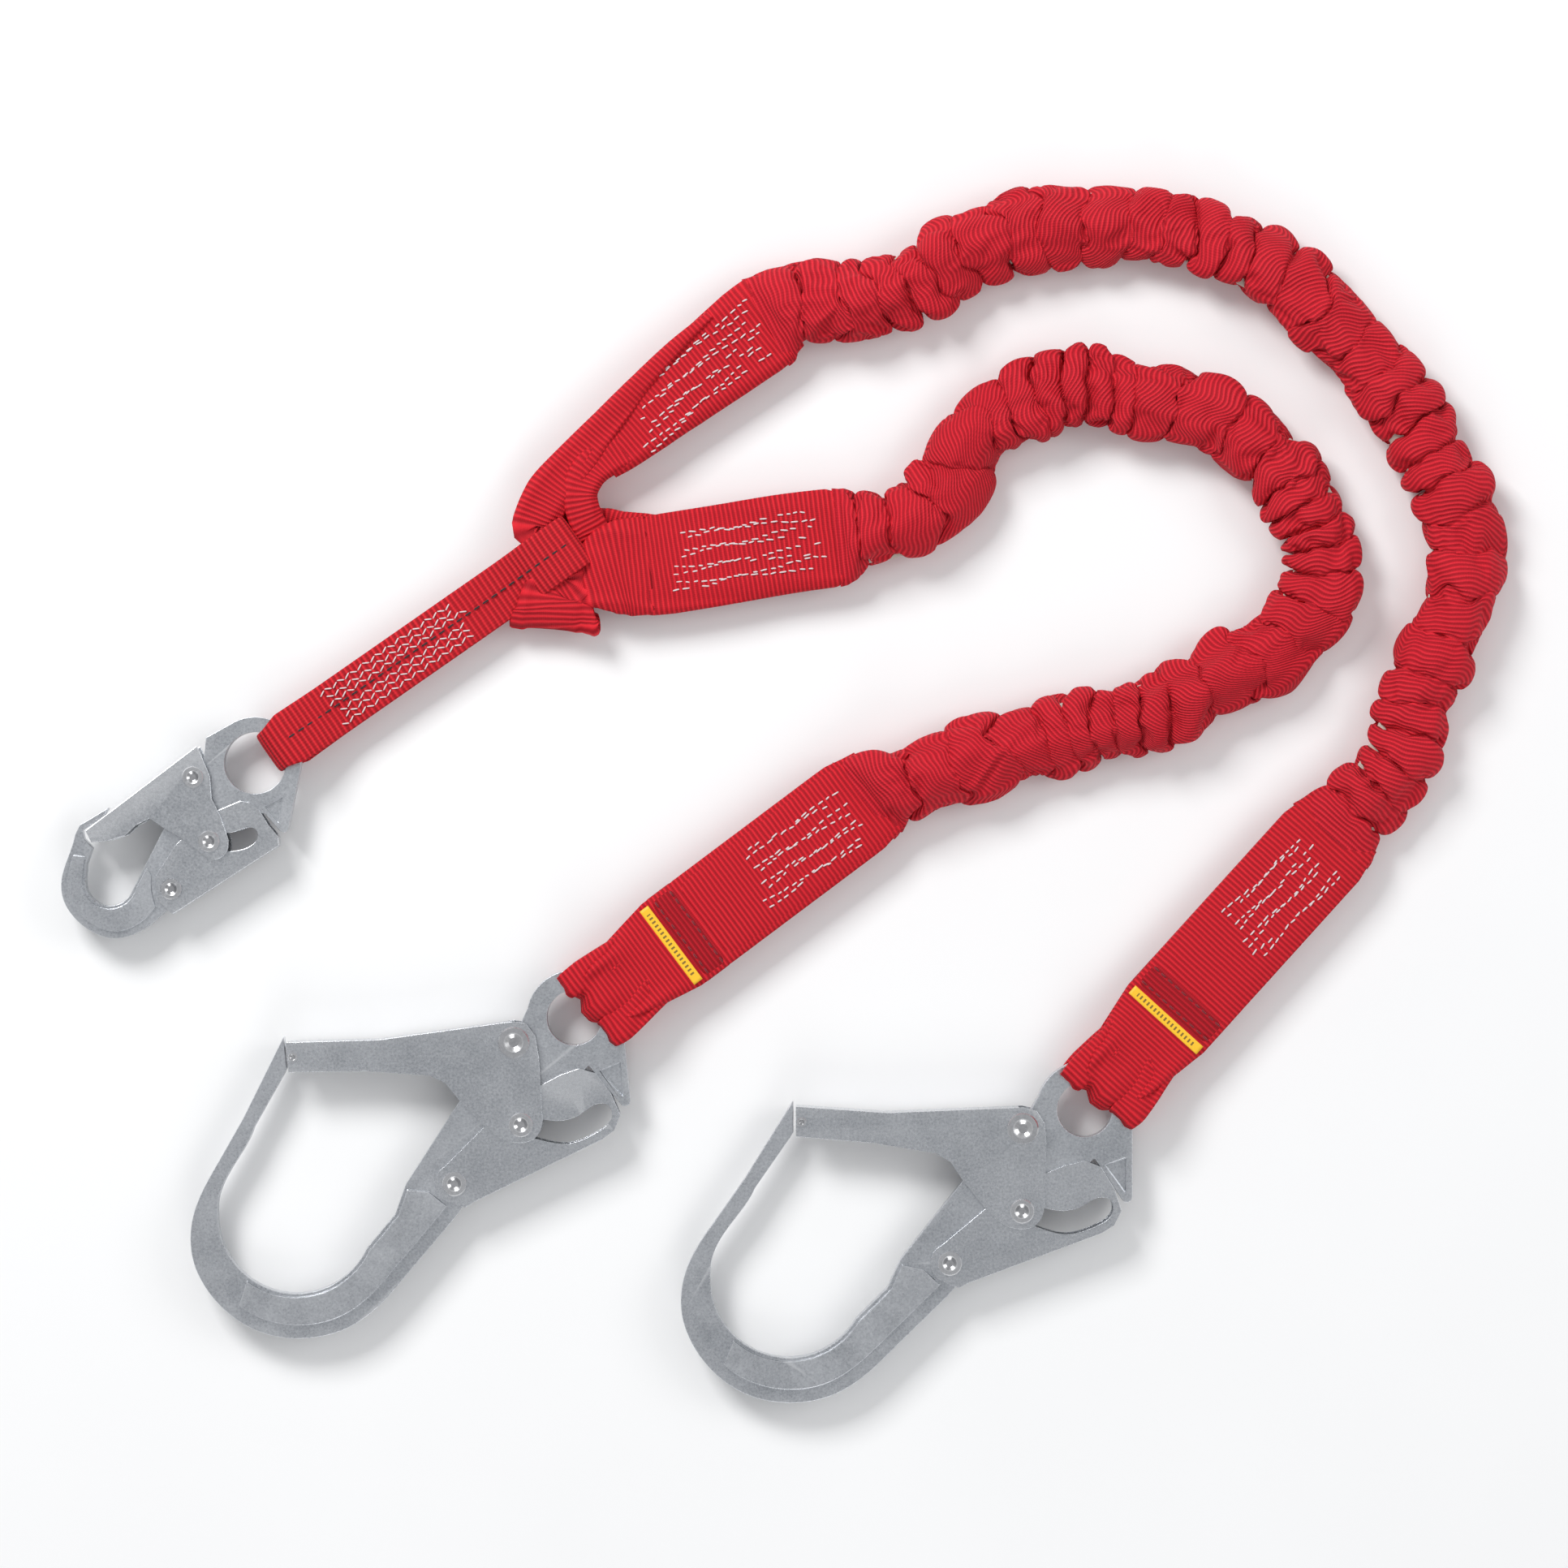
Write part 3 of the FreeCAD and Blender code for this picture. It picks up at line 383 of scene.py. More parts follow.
RIGHT, LEFT, SNAP = (109.7, -158.2, 0.0), (-124.1, -118.7, 5.5), (-271.5, 3.2, 0.0)
EYE_A, EYE_B, EYE_S = on(RIGHT, (28.6, 8.5)), on(LEFT, (28.6, 8.5)), on(SNAP, (28.1, 6.5))
TIP = (-94.7, 113.2)
PATH_A = [(5.3, 216.5), (18.5, 218.5), (35.3, 222.0), (52.3, 228.8), (69.2, 237.1), (88.0, 247.0), (110.5, 254.9), (144.4, 259.9), (178.2, 256.0), (200.8, 248.7), (223.3, 237.3), (245.9, 221.6), (262.8, 203.4), (277.9, 182.7), (293.9, 158.3), (306.0, 133.8), (311.7, 107.5), (308.9, 81.2), (299.6, 56.8), (289.5, 32.3), (279.5, 8.9), (270.2, -5.1), (257.1, -18.5)]
PATH_B = [(31.6, 114.3), (50.4, 117.5), (66.3, 125.3), (77.6, 138.6), (84.5, 154.5), (95.5, 168.9), (112.5, 177.9), (136.8, 181.3), (163.2, 178.9), (189.5, 171.4), (215.8, 157.3), (236.5, 135.7), (247.6, 109.4), (244.6, 86.8), (228.9, 67.0), (200.8, 47.4), (168.8, 33.5), (136.8, 25.8), (110.5, 19.7), (88.0, 11.5), (62.7, 4.5), (43.7, -2.5)]
A_SPLICE, A_TURN = (-75.5, 161.6), 34.2
B_SPLICE, B_TURN = (-60.0, 104.9), 5.9


# ------------------------------------------------------------------ gathered sleeves, by cloth simulation on the legs' own paths
RINGS_PER_MM, AROUND, FULL = 0.78, 40, 1.62
SIM = 10.0  # the simulation runs ten times larger, which suits the solver


def frames_of(path):
    p, t = smooth_path(path, 1.0)
    p = np.column_stack([p * MM, np.full(len(p), MIDZ)])
    tan = np.gradient(p, axis=0)
    tan /= np.linalg.norm(tan, axis=1)[:, None]
    side = np.column_stack([-tan[:, 1], tan[:, 0], np.zeros(len(p))])
    return p, side, t * MM


def build_sleeve(name, path, seed):
    """The sleeve slid together on its core: rounded gathers with deep creases between them, before the cloth settles."""
    p, side, s = frames_of(path)
    length = s[-1]
    n = int(length / MM * RINGS_PER_MM)
    rng = np.random.default_rng(seed)
    ph = rng.uniform(0, 2 * math.pi, 8)
    si = np.linspace(0, length, n + 1)
    smm = si / MM
    lam = 17.5 + 4.5 * np.sin(smm / 71.0 * 2 * math.pi / 2 + ph[0]) + 3.0 * np.sin(smm / 23.0 + ph[1])
    phase = np.concatenate([[0], np.cumsum(2 * math.pi / (0.5 * (lam[1:] + lam[:-1])) * np.diff(smm))])
    a = np.linspace(0, 2 * math.pi, AROUND, endpoint=False)
    ca, sa = np.cos(a), np.sin(a)
    off = Vector((seed * 3.7, seed * 1.3, 0.0))
    at = lambda x: np.stack([np.interp(x, s, p[:, k]) for k in range(3)], axis=-1)
    nat = lambda x: np.stack([np.interp(x, s, side[:, k]) for k in range(3)], axis=-1)
    rings = np.empty((n + 1, AROUND, 3))
    edge = 15.0 * MM
    for i in range(n + 1):
        e = step(0, edge, min(si[i], length - si[i]))
        sway = 3.2 * noise.noise(Vector((smm[i] / 38.0, 9.1 + seed, 0.3))) * e
        lift = 1.6 * noise.noise(Vector((smm[i] / 30.0, 4.1 + seed, 7.3))) * e
        for j in range(AROUND):
            q = Vector((smm[i] / 27.0, ca[j] * 0.75, sa[j] * 0.75)) + off
            f = phase[i] + 3.4 * noise.noise(q) + 1.3 * noise.noise(q * 2.3 + Vector((5, 1, 2)))
            crest = abs(math.sin(f / 2)) ** 0.72
            big = 7.0 + 6.5 * noise.noise(q * 1.15 + Vector((11, 3, 8)))
            big = min(11.0, max(2.5, big))
            k = 1.05 + 0.5 * noise.noise(q * 0.9 + Vector((2, 17, 4)))
            shift = -k * lam[i] / (2 * math.pi) * math.sin(f) * e * MM
            w = (22.8 * (1 - e) + (11.8 + big * crest) * e) * ca[j] + sway
            z = (5.0 * (1 - e) + (7.6 + 0.66 * big * crest) * e) * sa[j] + lift
            # soft wrinkles across the folds
            w += 0.45 * e * noise.noise(q * 6.0) * ca[j]
            z += 0.45 * e * noise.noise(q * 6.0 + Vector((3, 3, 3))) * sa[j]
            x = min(length, max(0.0, si[i] + shift))
            rings[i, j] = at(x) + nat(x) * (w * MM) + np.array([0, 0, max(z, -12.2) * MM])
    # woven length along each line of the sleeve, so the ribs keep their spacing over the folds
    seg = np.linalg.norm(np.diff(rings, axis=0), axis=2)
    cum = np.concatenate([np.zeros((1, AROUND)), np.cumsum(seg, axis=0)])
    mean = cum[-1].mean()
    cum *= mean / cum[-1]
    # neighbouring lines differ little in real cloth
    for _ in range(6):
        cum = 0.5 * cum + 0.25 * (np.roll(cum, 1, 1) + np.roll(cum, -1, 1))
    uv = np.stack([cum, np.broadcast_to(a / (2 * math.pi) * 0.094, cum.shape)], axis=2)
    along = cum.mean(axis=1)
    r = 0.0150
    rest = np.stack([np.broadcast_to(along[:, None], cum.shape), np.broadcast_to(r * ca, cum.shape), np.broadcast_to(r * sa, cum.shape)], axis=2)
    P, N = at(si), nat(si)
    return rings, rest, uv, P, N, si


def simulate(name, rings, P, N, frames=9):
    """The gathered sleeve settles: its folds swell and press on each other."""
    n, m = rings.shape[:2]
    c = P.mean(axis=0)
    faces = [(i * m + j, i * m + (j + 1) % m, (i + 1) * m + (j + 1) % m, (i + 1) * m + j) for i in range(n - 1) for j in range(m)]
    o = make_object(name, (rings.reshape(-1, 3) - c) * SIM, faces)
    pin = o.vertex_groups.new(name="pin")
    pin.add(list(range(0, 4 * m)) + list(range((n - 4) * m, n * m)), 1.0, "REPLACE")
    mod = o.modifiers.new("Cloth", "CLOTH")
    st, col = mod.settings, mod.collision_settings
    st.quality = 5
    st.mass = 0.3
    st.air_damping = 3.0
    st.tension_stiffness = st.compression_stiffness = 18
    st.shear_stiffness = 8
    st.bending_stiffness = 3.0
    st.tension_damping = st.compression_damping = st.shear_damping = 10
    st.bending_damping = 1.0
    st.vertex_group_mass = "pin"
    st.use_pressure = True
    st.uniform_pressure_force = 1.6
    st.effector_weights.gravity = 0.03
    col.use_collision = False
    col.use_self_collision = True
    col.self_distance_min = 0.006
    col.self_friction = 8
    col.collision_quality = 2
    sc = bpy.context.scene
    sc.frame_start, sc.frame_end = 1, frames
    mod.point_cache.frame_start, mod.point_cache.frame_end = 1, frames
    for f in range(1, frames + 1):
        sc.frame_set(f)
    dg = bpy.context.evaluated_depsgraph_get()
    ev = o.evaluated_get(dg)
    me = ev.to_mesh()
    co = np.empty(len(me.vertices) * 3)
    me.vertices.foreach_get("co", co)
    ev.to_mesh_clear()
    co = co.reshape(n, m, 3) / SIM + c
    me = o.data
    bpy.data.objects.remove(o)
    bpy.data.meshes.remove(me)
    sc.frame_set(1)
    return co


def refine(a, times):
    """Cubic subdivision of a grid of rings, closed round and open along."""
    for _ in range(times):
        n = len(a)
        up = np.concatenate([2 * a[:1] - a[1:2], a, 2 * a[-1:] - a[-2:-1]])
        mid = (-up[:-3] + 9 * up[1:-2] + 9 * up[2:-1] - up[3:]) / 16
        out = np.empty((2 * n - 1,) + a.shape[1:])
        out[0::2], out[1::2] = a, mid
        a = out
    return a


def refine_round(a, wrap=None):
    prev, nxt, nn = np.roll(a, 1, 1), np.roll(a, -1, 1), np.roll(a, -2, 1)
    if wrap is not None:
        prev, nxt, nn = prev.copy(), nxt.copy(), nn.copy()
        prev[:, 0, 1] -= wrap
        nxt[:, -1, 1] += wrap
        nn[:, -2:, 1] += wrap
    mid = (-prev + 9 * a + 9 * nxt - nn) / 16
    out = np.empty((a.shape[0], a.shape[1] * 2) + a.shape[2:])
    out[:, 0::2], out[:, 1::2] = a, mid
    return out


SIDES = {"a": ([(-8.6, 212.5), (-0.2, 217.0), (9.0, 219.4), (20.5, 220.2)] + PATH_A[2:-1] + [(257.6, -17.6), (251.6, -24.3)], 11), "b": ([(24.0, 113.5)] + PATH_B[:-1] + [(43.7, -2.5), (36.5, -7.9)], 5)}
for side_name, (path, seed) in SIDES.items():
    rings, rest, uv, P, N, si = build_sleeve(side_name, path, seed)
    co = simulate("cloth_" + side_name, rings, P, N)
    lim = np.linalg.norm(co - P[:, None, :], axis=2).max()
    print("cloth", side_name, "farthest from the path", round(float(lim), 4), flush=True)
    # keep the folds within the sleeve's real bulk
    off = co - P[:, None, :]
    z = np.clip(off[:, :, 2], -0.0128, 0.0165)
    co = P[:, None, :] + np.concatenate([off[:, :, :2], z[:, :, None]], axis=2)
    co, uv2 = refine_round(refine(co, 1)), refine_round(refine(uv, 1), wrap=0.094)
    total = len(co)
    length = si[-1]
    # split half way along each segment, so each piece bends across one joint only
    marks = [0.0, 0.34, 0.67, 1.0]
    cuts = [0] + [int(total * (marks[i] + marks[i + 1]) / 2) for i in range(3)] + [total - 1]
    for i in range(4):
        lo, hi = cuts[i], cuts[i + 1] + 1
        o = grid_tube(f"leg_{side_name}_gathers_{i + 1}", co[lo:hi], uv2[lo:hi], RED_SLEEVE, cap=False)
        if i:
            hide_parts(f"leg_{side_name}_sleeve_{i}")
        Pm = lambda f: np.array([np.interp(f * length, si, P[:, k]) for k in range(3)])
        if i < 3:
            d = 0.016 / length
            start, end = Pm(max(0.0, marks[i] - d)), Pm(min(1.0, marks[i] + d))
            if i == 0:
                start, end = Pm(0.0), Pm(2 * d)
        else:
            start, end = Pm((marks[2] + marks[3]) / 2), Pm(1.0)
        tuple(float(v) for v in start)
        tuple(float(v) for v in end)
        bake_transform(o)


# ------------------------------------------------------------------ flat webbing, modelled directly
def heading(a, b):
    return math.degrees(math.atan2(b[1] - a[1], b[0] - a[0]))


class Local:
    """A flat frame on the webbing: x along it, y across it, z up from the middle plane; all in millimetres."""

    def __init__(self, at, deg):
        self.at, self.deg = at, deg

    def __call__(self, x, y, z):
        q = turn((x, y), self.deg)
        return np.array([(self.at[0] + q[0]) * MM, (self.at[1] + q[1]) * MM, MIDZ + z * MM])

    @property
    def across(self):
        return np.array([-math.sin(math.radians(self.deg)), math.cos(math.radians(self.deg)), 0.0])


def profile_ribbon(name, loc, sz, width_by_x, thick, mat, lobes=0.0, step_mm=1.6):
    """Webbing that follows a side profile of (x, z) points; its width depends on x."""
    pts, _ = smooth_path(sz, step_mm)
    path = np.array([loc(x, 0, z) for x, z in pts])
    seg = np.linalg.norm(np.diff(path, axis=0), axis=1)
    s = np.concatenate([[0], np.cumsum(seg)]) / seg.sum()
    xs = pts[:, 0]
    at = lambda f: float(np.interp(f, s, xs))
    w = curve_of(width_by_x)

    def lift(f, u):
        x = at(f)
        k = lobes * (1 - step(20, 60, x))
        return k * MM * (math.cos(u / MM * 2 * math.pi / 15.0 + 0.9) + 0.35 * math.sin(u / MM * 0.9 + x * 0.12))
    return sweep(name, path, lambda f: w(at(f)) * MM, lambda f: thick * MM, loc.across, mat, m=40, lift=lift if lobes else None)


def zigzag(loc, x0, x1, rows, z, length=3.3, gap=0.9, swing=0.45, slant=0.0, top=True, jitter=0.25):
    segs, up = [], np.array([0, 0, 1.0]) if top else np.array([0, 0, -1.0])
    rng = random.Random(int(x0 * 7 + len(rows)))
    for r, y in enumerate(rows):
        x, k = x0 + rng.uniform(-3.0, 3.0) + abs(y) * 0.10, r
        while x + length < x1 + rng.uniform(-1.5, 3.0):
            d = swing if k % 2 else -swing
            zz = z if not callable(z) else z(x)
            yy = y + slant * (x - x0)
            j = rng.uniform(-jitter, jitter)
            segs.append((loc(x, yy - d + j, zz if top else -zz), loc(x + length, yy + d + j, zz if top else -zz), up))
            x += length + gap
            k += 1
    return segs


def ribbon(name, pts, across=None, lift=0.5):
    """Flat webbing through (x, y, z, width, thickness) points, in millimetres; it lies flat unless told which way it faces."""
    a = np.array(pts, float)
    p, _ = smooth_path([tuple(q) for q in a[:, :3]], 1.4)
    path = np.column_stack([p[:, :2] * MM, MIDZ + p[:, 2] * MM])
    chord = np.concatenate([[0], np.cumsum(np.linalg.norm(np.diff(a[:, :3], axis=0), axis=1))])
    chord /= chord[-1]
    if across is None:
        tan = np.gradient(path, axis=0)
        side = np.column_stack([-tan[:, 1], tan[:, 0], np.zeros(len(tan))])
        share = np.linspace(0, 1, len(path))
        across = lambda f: np.array([np.interp(f, share, side[:, k]) for k in range(3)])
    w = lambda f: float(np.interp(f, chord, a[:, 3])) * MM
    t = lambda f: float(np.interp(f, chord, a[:, 4])) * MM
    return sweep(name, path, w, t, across, RED, m=44, lift=lambda f, u: lift * MM * (math.sin(u / MM * 0.55 + f * 7.0) + 0.4 * math.sin(u / MM * 1.3 + f * 15.0)))


def double_rows(loc, x0, x1, mid, zt, zb, slant, half):
    """Four pairs of hand-guided stitch lines that cross each other along the sewn layers, on both faces."""
    rng = random.Random(int(loc.at[0] * 3) + int(x0))
    segs = []
    for top_side in (True, False):
        for r in range(4):
            y0 = -half + r * half * 2 / 3
            for d in (-1.9, 1.9):
                x = x0 + rng.uniform(-3, 3) + r * 2.0
                stop_x = x1 + rng.uniform(-5, 4)
                tilt = rng.uniform(0.05, 0.085) * (-1 if d > 0 else 1)
                while x < stop_x:
                    y = y0 + d + tilt * (x - x0) + slant * (x - x0) + mid(x) + 0.5 * math.sin(x * 0.21 + r)
                    g = rng.uniform(1.9, 3.6)
                    yb = y + rng.uniform(-0.6, 0.6)
                    z1, z2 = (zt(x), zt(x + g)) if top_side else (-zb(x), -zb(x + g))
                    if rng.random() > 0.10:
                        segs.append((loc(x, y, z1), loc(x + g, yb, z2), np.array([0, 0, 1.0 if top_side else -1.0])))
                    x += g + rng.uniform(0.8, 1.9)
    return segs


def hook_end(side_name, eye, end):
    t = heading(eye, end)
    loc = Local(eye, t)
    length = math.hypot(end[0] - eye[0], end[1] - eye[1])
    arc = [(17.3 + 10.2 * math.cos(math.radians(a)), 10.2 * math.sin(math.radians(a))) for a in (250, 225, 200, 180, 160, 135, 110)]
    sz = [(length + 4, -1.9), (110, -2.1), (75, -2.2), (56, -2.5), (44, -4.4), (32, -7.4), (22, -9.6)] + arc + [(22, 9.6), (32, 7.4), (44, 4.4), (56, 2.5), (75, 2.2), (110, 2.1), (length + 4, 1.9)]
    o = profile_ribbon(f"leg_{side_name}_hook_end_webbing", loc, sz, [(5, 20), (10, 21), (16, 25), (24, 33), (34, 38.5), (46, 43), (56, 46.5), (length - 14, 46.5), (length - 3, 42), (length + 4, 34)], 4.2, RED, lobes=1.5)
    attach(o, f"leg_{side_name}_hook_end")
    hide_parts(f"leg_{side_name}_hook_loop")
    # the edges of the webbing fold over the ring on both faces
    for k, (y0, y1, w, reach) in enumerate(((11.5, 13.6, 13.5, 5.0), (-11.5, -15.2, 16.0, 8.0))):
        for sign in (1, -1):
            q = [(44, y0, 3.6, w, 3.0), (34, y0 + (y1 - y0) * 0.3, 6.3, w, 4.2), (24, y0 + (y1 - y0) * 0.7, 8.3, w, 5.0), (15, y1, 8.9, w, 5.0), (reach + 3.5, y1, 8.5, w * 0.96, 4.6), (reach + 0.6, y1, 7.2, w * 0.88, 3.2), (reach + 1.6, y1, 6.0, w * 0.8, 2.0)]
            pts = [tuple(loc(x, y, z * sign)[:2] / MM) + (z * sign, ww, t) for x, y, z, ww, t in q]
            o = ribbon(f"leg_{side_name}_hook_end_fold_{k + 1}{'a' if sign > 0 else 'b'}", pts, loc.across, 0.5)
            tuple(float(v) for v in loc(34, 0, 0))
            tuple(float(v) for v in loc(15, 0, 0))
            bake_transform(o)
    # the doubled layer starts with a step
    pts = np.array([loc(x, 0, 0) for x in np.linspace(73, length + 1, 60)])
    o = sweep(f"leg_{side_name}_sewn_layers", pts, curve_of([(0, 46.7 * MM), (0.82, 46.7 * MM), (1, 41 * MM)]), curve_of([(0, 8.6 * MM), (0.04, 9.4 * MM), (0.9, 9.4 * MM), (1, 8.4 * MM)]), loc.across, RED, m=40)
    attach(o, f"leg_{side_name}_hook_end")
    pts = np.array([loc(x, 0, 0) for x in np.linspace(59, 71.5, 14)])
    o = sweep(f"leg_{side_name}_dark_fold_band", pts, lambda f: 46.9 * MM, curve_of([(0, 8.9 * MM), (0.12, 9.9 * MM), (0.88, 9.9 * MM), (1, 9.0 * MM)]), loc.across, RED_DARK, m=40)
    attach(o, f"leg_{side_name}_hook_end")
    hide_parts(f"leg_{side_name}_fold_band")
    pts = np.array([loc(55.6, y, 4.85) for y in np.linspace(-21, 21, 30)])
    o = sweep(f"leg_{side_name}_indicator_tape", pts, lambda f: 4.8 * MM, lambda f: 0.8 * MM, np.array([math.cos(math.radians(t)), math.sin(math.radians(t)), 0]), YELLOW, m=16, s0=-0.021)
    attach(o, f"leg_{side_name}_hook_end")
    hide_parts(f"leg_{side_name}_impact_indicator")
    segs = double_rows(loc, length - 72, length - 20, lambda x: 0.5, lambda x: 4.85, lambda x: 4.85, -0.055, 12.0)
    for x in (38.5, 42.5, 46.5):
        segs.append((loc(x, 0.4, 6.7 - (x - 38.5) * 0.26), loc(x + 3.0, 0.0, 6.1 - (x - 38.5) * 0.26), np.array([0, 0, 1.0])))
    o = pills(f"leg_{side_name}_hook_end_thread", segs, 0.40 * MM, WHITE)
    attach(o, f"leg_{side_name}_hook_end")
    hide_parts(f"leg_{side_name}_hook_stitching")
    dark = []
    for sign in (1, -1):
        for x in (61.5, 70.0):
            for y in np.arange(-20.5, 20, 4.2):
                dark.append((loc(x, y, sign * 5.0), loc(x, y + 2.9, sign * 5.0), np.array([0, 0, float(sign)])))
    o = pills(f"leg_{side_name}_band_thread", dark, 0.40 * MM, RED_THREAD)
    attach(o, f"leg_{side_name}_hook_end")


hook_end("a", EYE_A, (257.1, -18.5))
hook_end("b", EYE_B, (43.7, -2.5))


def flat_ring(name, pts3, width, thick, mat):
    p, _ = smooth_path(pts3, 1.6)
    path = np.column_stack([p[:, :2] * MM, MIDZ + p[:, 2] * MM])
    tan = np.gradient(path, axis=0)
    side = np.column_stack([-tan[:, 1], tan[:, 0], np.zeros(len(tan))])
    share = np.linspace(0, 1, len(path))
    ac = lambda f: np.array([np.interp(f, share, side[:, k]) for k in range(3)])
    return sweep(name, path, width, thick, ac, mat, m=32, lift=lambda f, u: 0.7 * MM * math.sin(u / MM * 0.62 + f * 9.0))


ts = heading(EYE_S, TIP)
STRAP = Local(EYE_S, ts)
L = math.hypot(TIP[0] - EYE_S[0], TIP[1] - EYE_S[1])
JX, JY = EYE_S[0] + (L - 10) * math.cos(math.radians(ts)), EYE_S[1] + (L - 10) * math.sin(math.radians(ts))
vx, vy = -math.sin(math.radians(ts)), math.cos(math.radians(ts))


def harness_end(side_name, at, deg, end, splice, strands):
    body = f"leg_{side_name}_harness_end"
    loc = Local(at, deg)
    length = math.hypot(end[0] - at[0], end[1] - at[1])
    # x, offset across, z, width, thickness along the sewn layers
    pts = [tuple(loc(x, y, z)[:2] / MM) + (z, w, t) for x, y, z, w, t in splice]
    o = ribbon(f"leg_{side_name}_harness_webbing", pts, loc.across, 0.35)
    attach(o, body)
    for k, (piece, pts, across) in enumerate(strands):
        o = ribbon(f"leg_{side_name}_{piece}", pts, across, 0.55)
        root = STRAP(L - 10, 0, 0)
        far = loc(-4, 0, 0) if side_name == "a" else loc(-8, 0, 0)
        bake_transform(o)
        if k == 0:
            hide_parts(f"leg_{side_name}_harness_loop")
    xs = [q[0] for q in splice]
    mid = lambda x: float(np.interp(x, xs, [q[1] for q in splice]))
    zt = lambda x: float(np.interp(x, xs, [q[2] + q[4] / 2 for q in splice])) + 0.15
    zb = lambda x: float(np.interp(x, xs, [-q[2] + q[4] / 2 for q in splice])) + 0.15
    segs = double_rows(loc, 8, length - 18, mid, zt, zb, 0.0, 11.5)
    o = pills(f"leg_{side_name}_harness_thread", segs, 0.38 * MM, WHITE)
    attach(o, body)
    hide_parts(f"leg_{side_name}_harness_stitching")


def jv(k, z, w, t, back=0.0):
    ux, uy = vy, -vx
    return (JX + vx * k - ux * back, JY + vy * k - uy * back, z, w, t)


outer = [(-34, 216, 2.2, 4, 5), (-50, 201.5, 3.2, 7, 6), (-66, 184.5, 3.9, 10, 6), (-82, 166, 4.2, 14, 6), (-96, 149, 4.0, 19, 6), (-108, 134, 3.8, 22, 5.6), jv(16, 3.4, 21, 4.6, 3.4), jv(11, 3.2, 17, 4.2, 2.2), jv(0, 3.1, 16, 4.0, 2.0), jv(-11, 3.2, 17, 4.2, 2.5)]
fold = [jv(-8, 3.2, 17, 4.2, 2.5), jv(-14, 3.4, 21, 4.6, 4.0), (-105.5, 88, 3.4, 28, 4.8), (-106, 80, 2.9, 37, 4.6), (-106, 74.2, 0.6, 42, 4.2), (-105.4, 73.2, -1.8, 42, 4.2), (-104.5, 76.6, -4.6, 41, 4.2), (-102, 86, -5.8, 34, 4.4), (-96.5, 94, -6.0, 24, 4.4)]
strand = [(-97, 93.5, -6.0, 23, 4.4), (-90.5, 101, -5.4, 17, 4.6), (-86.3, 108, -3.6, 16, 5.4), (-88.2, 116, 0.2, 16, 6.2), (-92.0, 124, 2.6, 16, 6.8), (-93.8, 134, 3.6, 16, 7.2), (-90.0, 144, 3.6, 18, 7.2), (-82.0, 152, 2.8, 21, 7.0), (-70, 160, 1.2, 24, 6.2)]
strands_a = [("junction_loop", outer, None), ("junction_fold", fold, np.array([0.995, -0.10, 0])), ("junction_strand", strand, None)]
splice_a = [(-14, -5.0, 2.2, 22, 6.0), (-4, -4.0, 1.7, 26, 7.4), (12, -1.8, 0.8, 31, 8.0), (31, 0.8, 0.3, 36.5, 8.2), (56, 2.8, 0.0, 41, 8.4), (76, 4.2, 0.0, 44, 8.4), (86, 4.6, 0.0, 44, 8.0), (95, 3.6, 0.0, 36.0, 6.0)]
back = [(-52, 116, -2.0, 14, 4.6), (-64, 119, -4.0, 12, 5.0), (-75, 121.5, -5.2, 9, 6.2), (-82.5, 123.4, -5.6, 8, 7.0), (-91, 122, -5.8, 10, 5.6), (-100, 122, -5.4, 15, 4.4), jv(14, -4.2, 16, 4.0, -1.0), jv(8, -3.0, 15, 3.6), jv(-4, -2.7, 15, 3.6), jv(-11, -2.2, 17, 4.0)]
tip = [jv(-9, -2.2, 17, 4.0), (-96.2, 96.2, -0.6, 19, 5.0), (-92.5, 94.6, 1.8, 25, 6.0), (-88, 95.6, 3.0, 32, 6.6), (-82, 97.4, 3.0, 40, 7.0), (-74, 99.4, 2.0, 45, 7.2), (-62, 100.8, 0.6, 45.6, 6.6)]
strands_b = [("junction_loop", back, None), ("junction_tip", tip, np.array([-0.10, 0.995, 0]))]
splice_b = [(-12, -4.4, 0.8, 40, 5.0), (-4, -4.4, 0.6, 45.4, 7.0), (6, -4.0, 0.2, 46.6, 8.2), (30, -2.6, 0.0, 46.5, 8.6), (60, -0.6, 0.0, 46.2, 8.6), (82, 0.0, 0.0, 45.6, 8.4), (92, 0.0, 0.0, 38, 6.0)]
harness_end("a", A_SPLICE, A_TURN, (5.3, 216.5), splice_a, strands_a)
harness_end("b", B_SPLICE, B_TURN, (31.6, 114.3), splice_b, strands_b)

# the one-inch strap
arc = [(17.65 + 9.65 * math.cos(math.radians(a)), 9.65 * math.sin(math.radians(a))) for a in (110, 135, 160, 180, 200, 225, 250)]
strap_sz = [(L - 70, -1.4), (L - 38, -1.5), (L - 24, -6.6), (L - 16, -8.5), (L - 5, -8.3), (L - 1.5, -5.0), (L - 1.2, 0), (L - 1.5, 5.0), (L - 5, 8.3), (L - 16, 8.5), (L - 24, 6.6), (L - 38, 1.6), (L - 70, 1.35), (60, 1.35), (42, 1.8), (28, 6.2), (21, 9.0)] + arc + [(21, -9.0), (28, -6.2), (42, -1.8), (60, -1.4), (L - 71, -1.4)]
o = profile_ribbon("strap_ribbed_webbing", STRAP, strap_sz, [(5, 19.5), (12, 20.5), (20, 25.4), (400, 25.4)], 2.4, RED_STRAP, lobes=0.0, step_mm=1.0)
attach(o, "strap")
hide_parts("strap_webbing")
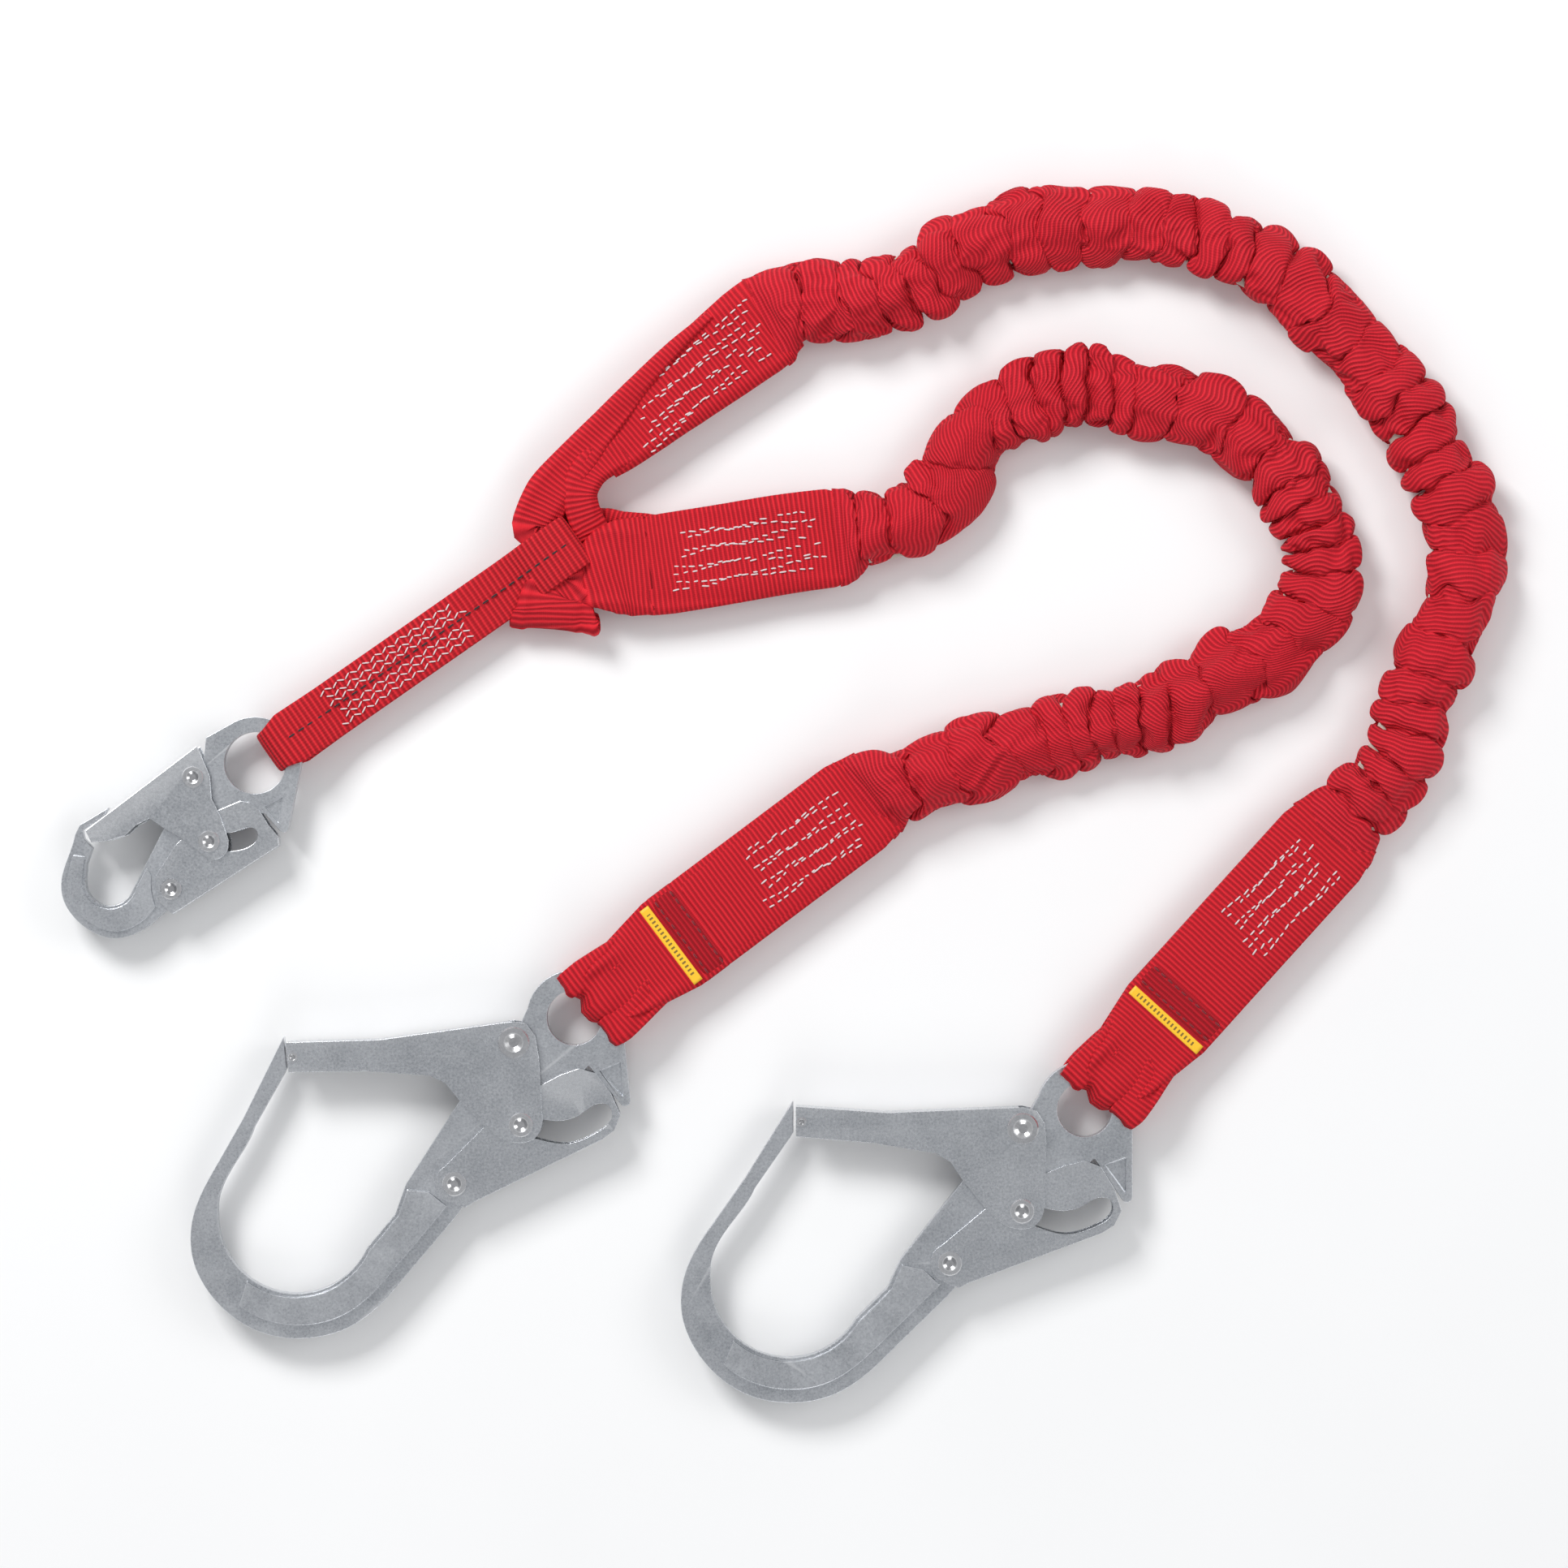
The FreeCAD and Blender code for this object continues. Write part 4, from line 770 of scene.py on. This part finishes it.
top = curve_of([(12, 9.6), (17.6, 10.9), (21, 10.3), (28, 7.6), (35, 4.2), (42, 3.1), (60, 2.62), (L - 70, 2.62), (L - 38, 2.95), (L - 31, 5.1), (L - 24, 7.9), (L - 16, 9.75), (L - 5, 9.5), (L, 6.0)])
segs = zigzag(STRAP, 44, 118, [-8.6, -5.4, -2.6, 2.6, 5.4, 8.6], lambda x: top(x) + 0.1, length=3.0, gap=0.5, swing=0.8, jitter=0.3)
segs += zigzag(STRAP, 44, 118, [-8.6, -5.4, 5.4, 8.6], lambda x: 2.72, length=3.0, gap=0.5, swing=0.8, top=False)
o = pills("strap_white_thread", segs, 0.34 * MM, WHITE)
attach(o, "strap")
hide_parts("strap_stitching")
segs = []
x = 20.0
while x < L - 5:
    segs.append((STRAP(x, 0.3, top(x) + 0.12), STRAP(x + 3.2, 0.3, top(x + 3.2) + 0.12), np.array([0, 0, 1.0])))
    x += 4.9
o = pills("strap_black_tracer", segs, 0.42 * MM, BLACK)
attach(o, "strap")
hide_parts("strap_tracer")


# ------------------------------------------------------------------ metal: the CAD solids, with eased edges
def ease(o, width, segments, angle=32):
    w = o.modifiers.new("weld", "WELD")
    w.merge_threshold = 0.000002
    d = o.modifiers.new("flat_faces", "DECIMATE")
    d.decimate_type = "DISSOLVE"
    d.angle_limit = math.radians(0.6)
    b = o.modifiers.new("ease", "BEVEL")
    b.width = width
    b.segments = segments
    b.limit_method = "ANGLE"
    b.angle_limit = math.radians(angle)
    b.use_clamp_overlap = True
    b.harden_normals = False
    b.miter_outer = "MITER_ARC"
    n = o.modifiers.new("even", "WEIGHTED_NORMAL")
    n.keep_sharp = True


for n, o in NODES.items():
    if not n.startswith(("hook_", "snap_")):
        mat = {"core": ELASTIC}.get("core" if "core" in n else "", RED)
        o.data.materials.clear()
        o.data.materials.append(mat)
        continue
    o.data.materials.clear()
    if "rivet" in n or "pin" in n:
        o.data.materials.append(RIVET)
    elif "spring" in n:
        o.data.materials.append(SPRING)
    elif "gate" in n or "lever" in n:
        o.data.materials.append(SHEET)
        ease(o, 0.45 * MM, 2)
    else:
        o.data.materials.append(FORGED)
        ease(o, 1.3 * MM, 3)


# ------------------------------------------------------------------ floor, light and camera
def plain_floor():
    m, nt, b = new_mat("pale_floor")
    f = noise_tex(nt, 6.0, 3.0, vec=texco(nt))
    nt.links.new(mix_col(nt, f, (0.86, 0.86, 0.86), (0.90, 0.90, 0.90)), b.inputs["Base Color"])
    b.inputs["Roughness"].default_value = 0.8
    return m


floor = make_object("floor", [(-6, -6, -0.0006), (6, -6, -0.0006), (6, 6, -0.0006), (-6, 6, -0.0006)], [(0, 1, 2, 3)], None, plain_floor(), smooth=False)


def area(name, loc, size, power, target=(0, 0, 0), size_y=None):
    d = bpy.data.lights.new(name, "AREA")
    d.shape = "RECTANGLE"
    d.size, d.size_y = size, size_y or size
    d.energy = power
    o = bpy.data.objects.new(name, d)
    o.location = loc
    o.rotation_euler = (Vector(target) - Vector(loc)).to_track_quat("-Z", "Y").to_euler()
    bpy.context.scene.collection.objects.link(o)


area("key", (-1.1, 1.5, 1.7), 0.9, 46)
area("fill", (1.9, 0.5, 1.5), 1.2, 12)
area("front", (0.2, -1.9, 1.3), 1.0, 8)
w = bpy.data.worlds.new("studio")
bpy.context.scene.world = w
w.use_nodes = True
nt = w.node_tree
bg = nt.nodes["Background"]
g = nt.nodes.new("ShaderNodeTexCoord")
sp = nt.nodes.new("ShaderNodeSeparateXYZ")
nt.links.new(g.outputs["Generated"], sp.inputs[0])
r = nt.nodes.new("ShaderNodeValToRGB")
r.color_ramp.elements[0].position, r.color_ramp.elements[1].position = 0.0, 1.0
r.color_ramp.elements[0].color, r.color_ramp.elements[1].color = (0.85, 0.86, 0.88, 1), (0.62, 0.63, 0.65, 1)
e = r.color_ramp.elements.new(0.82)
e.color = (0.98, 0.99, 1.0, 1)
e = r.color_ramp.elements.new(0.45)
e.color = (0.30, 0.31, 0.33, 1)
nt.links.new(sp.outputs[2], r.inputs[0])
nt.links.new(r.outputs[0], bg.inputs[0])
bg.inputs[1].default_value = 0.72
cam_data = bpy.data.cameras.new("camera")
cam_data.lens = 120
cam_data.sensor_width = 36
cam = bpy.data.objects.new("camera", cam_data)
cam.location = (0, 0, 2.421)
cam.rotation_euler = (0, 0, 0)
bpy.context.scene.collection.objects.link(cam)
bpy.context.scene.camera = cam
bpy.context.scene.view_settings.view_transform = "Standard"

shown = [o for o in bpy.context.scene.objects if o.type == "MESH" and o is not floor]
{"cad_box": CAD_BOX, "visual_box": whole_box(shown)}
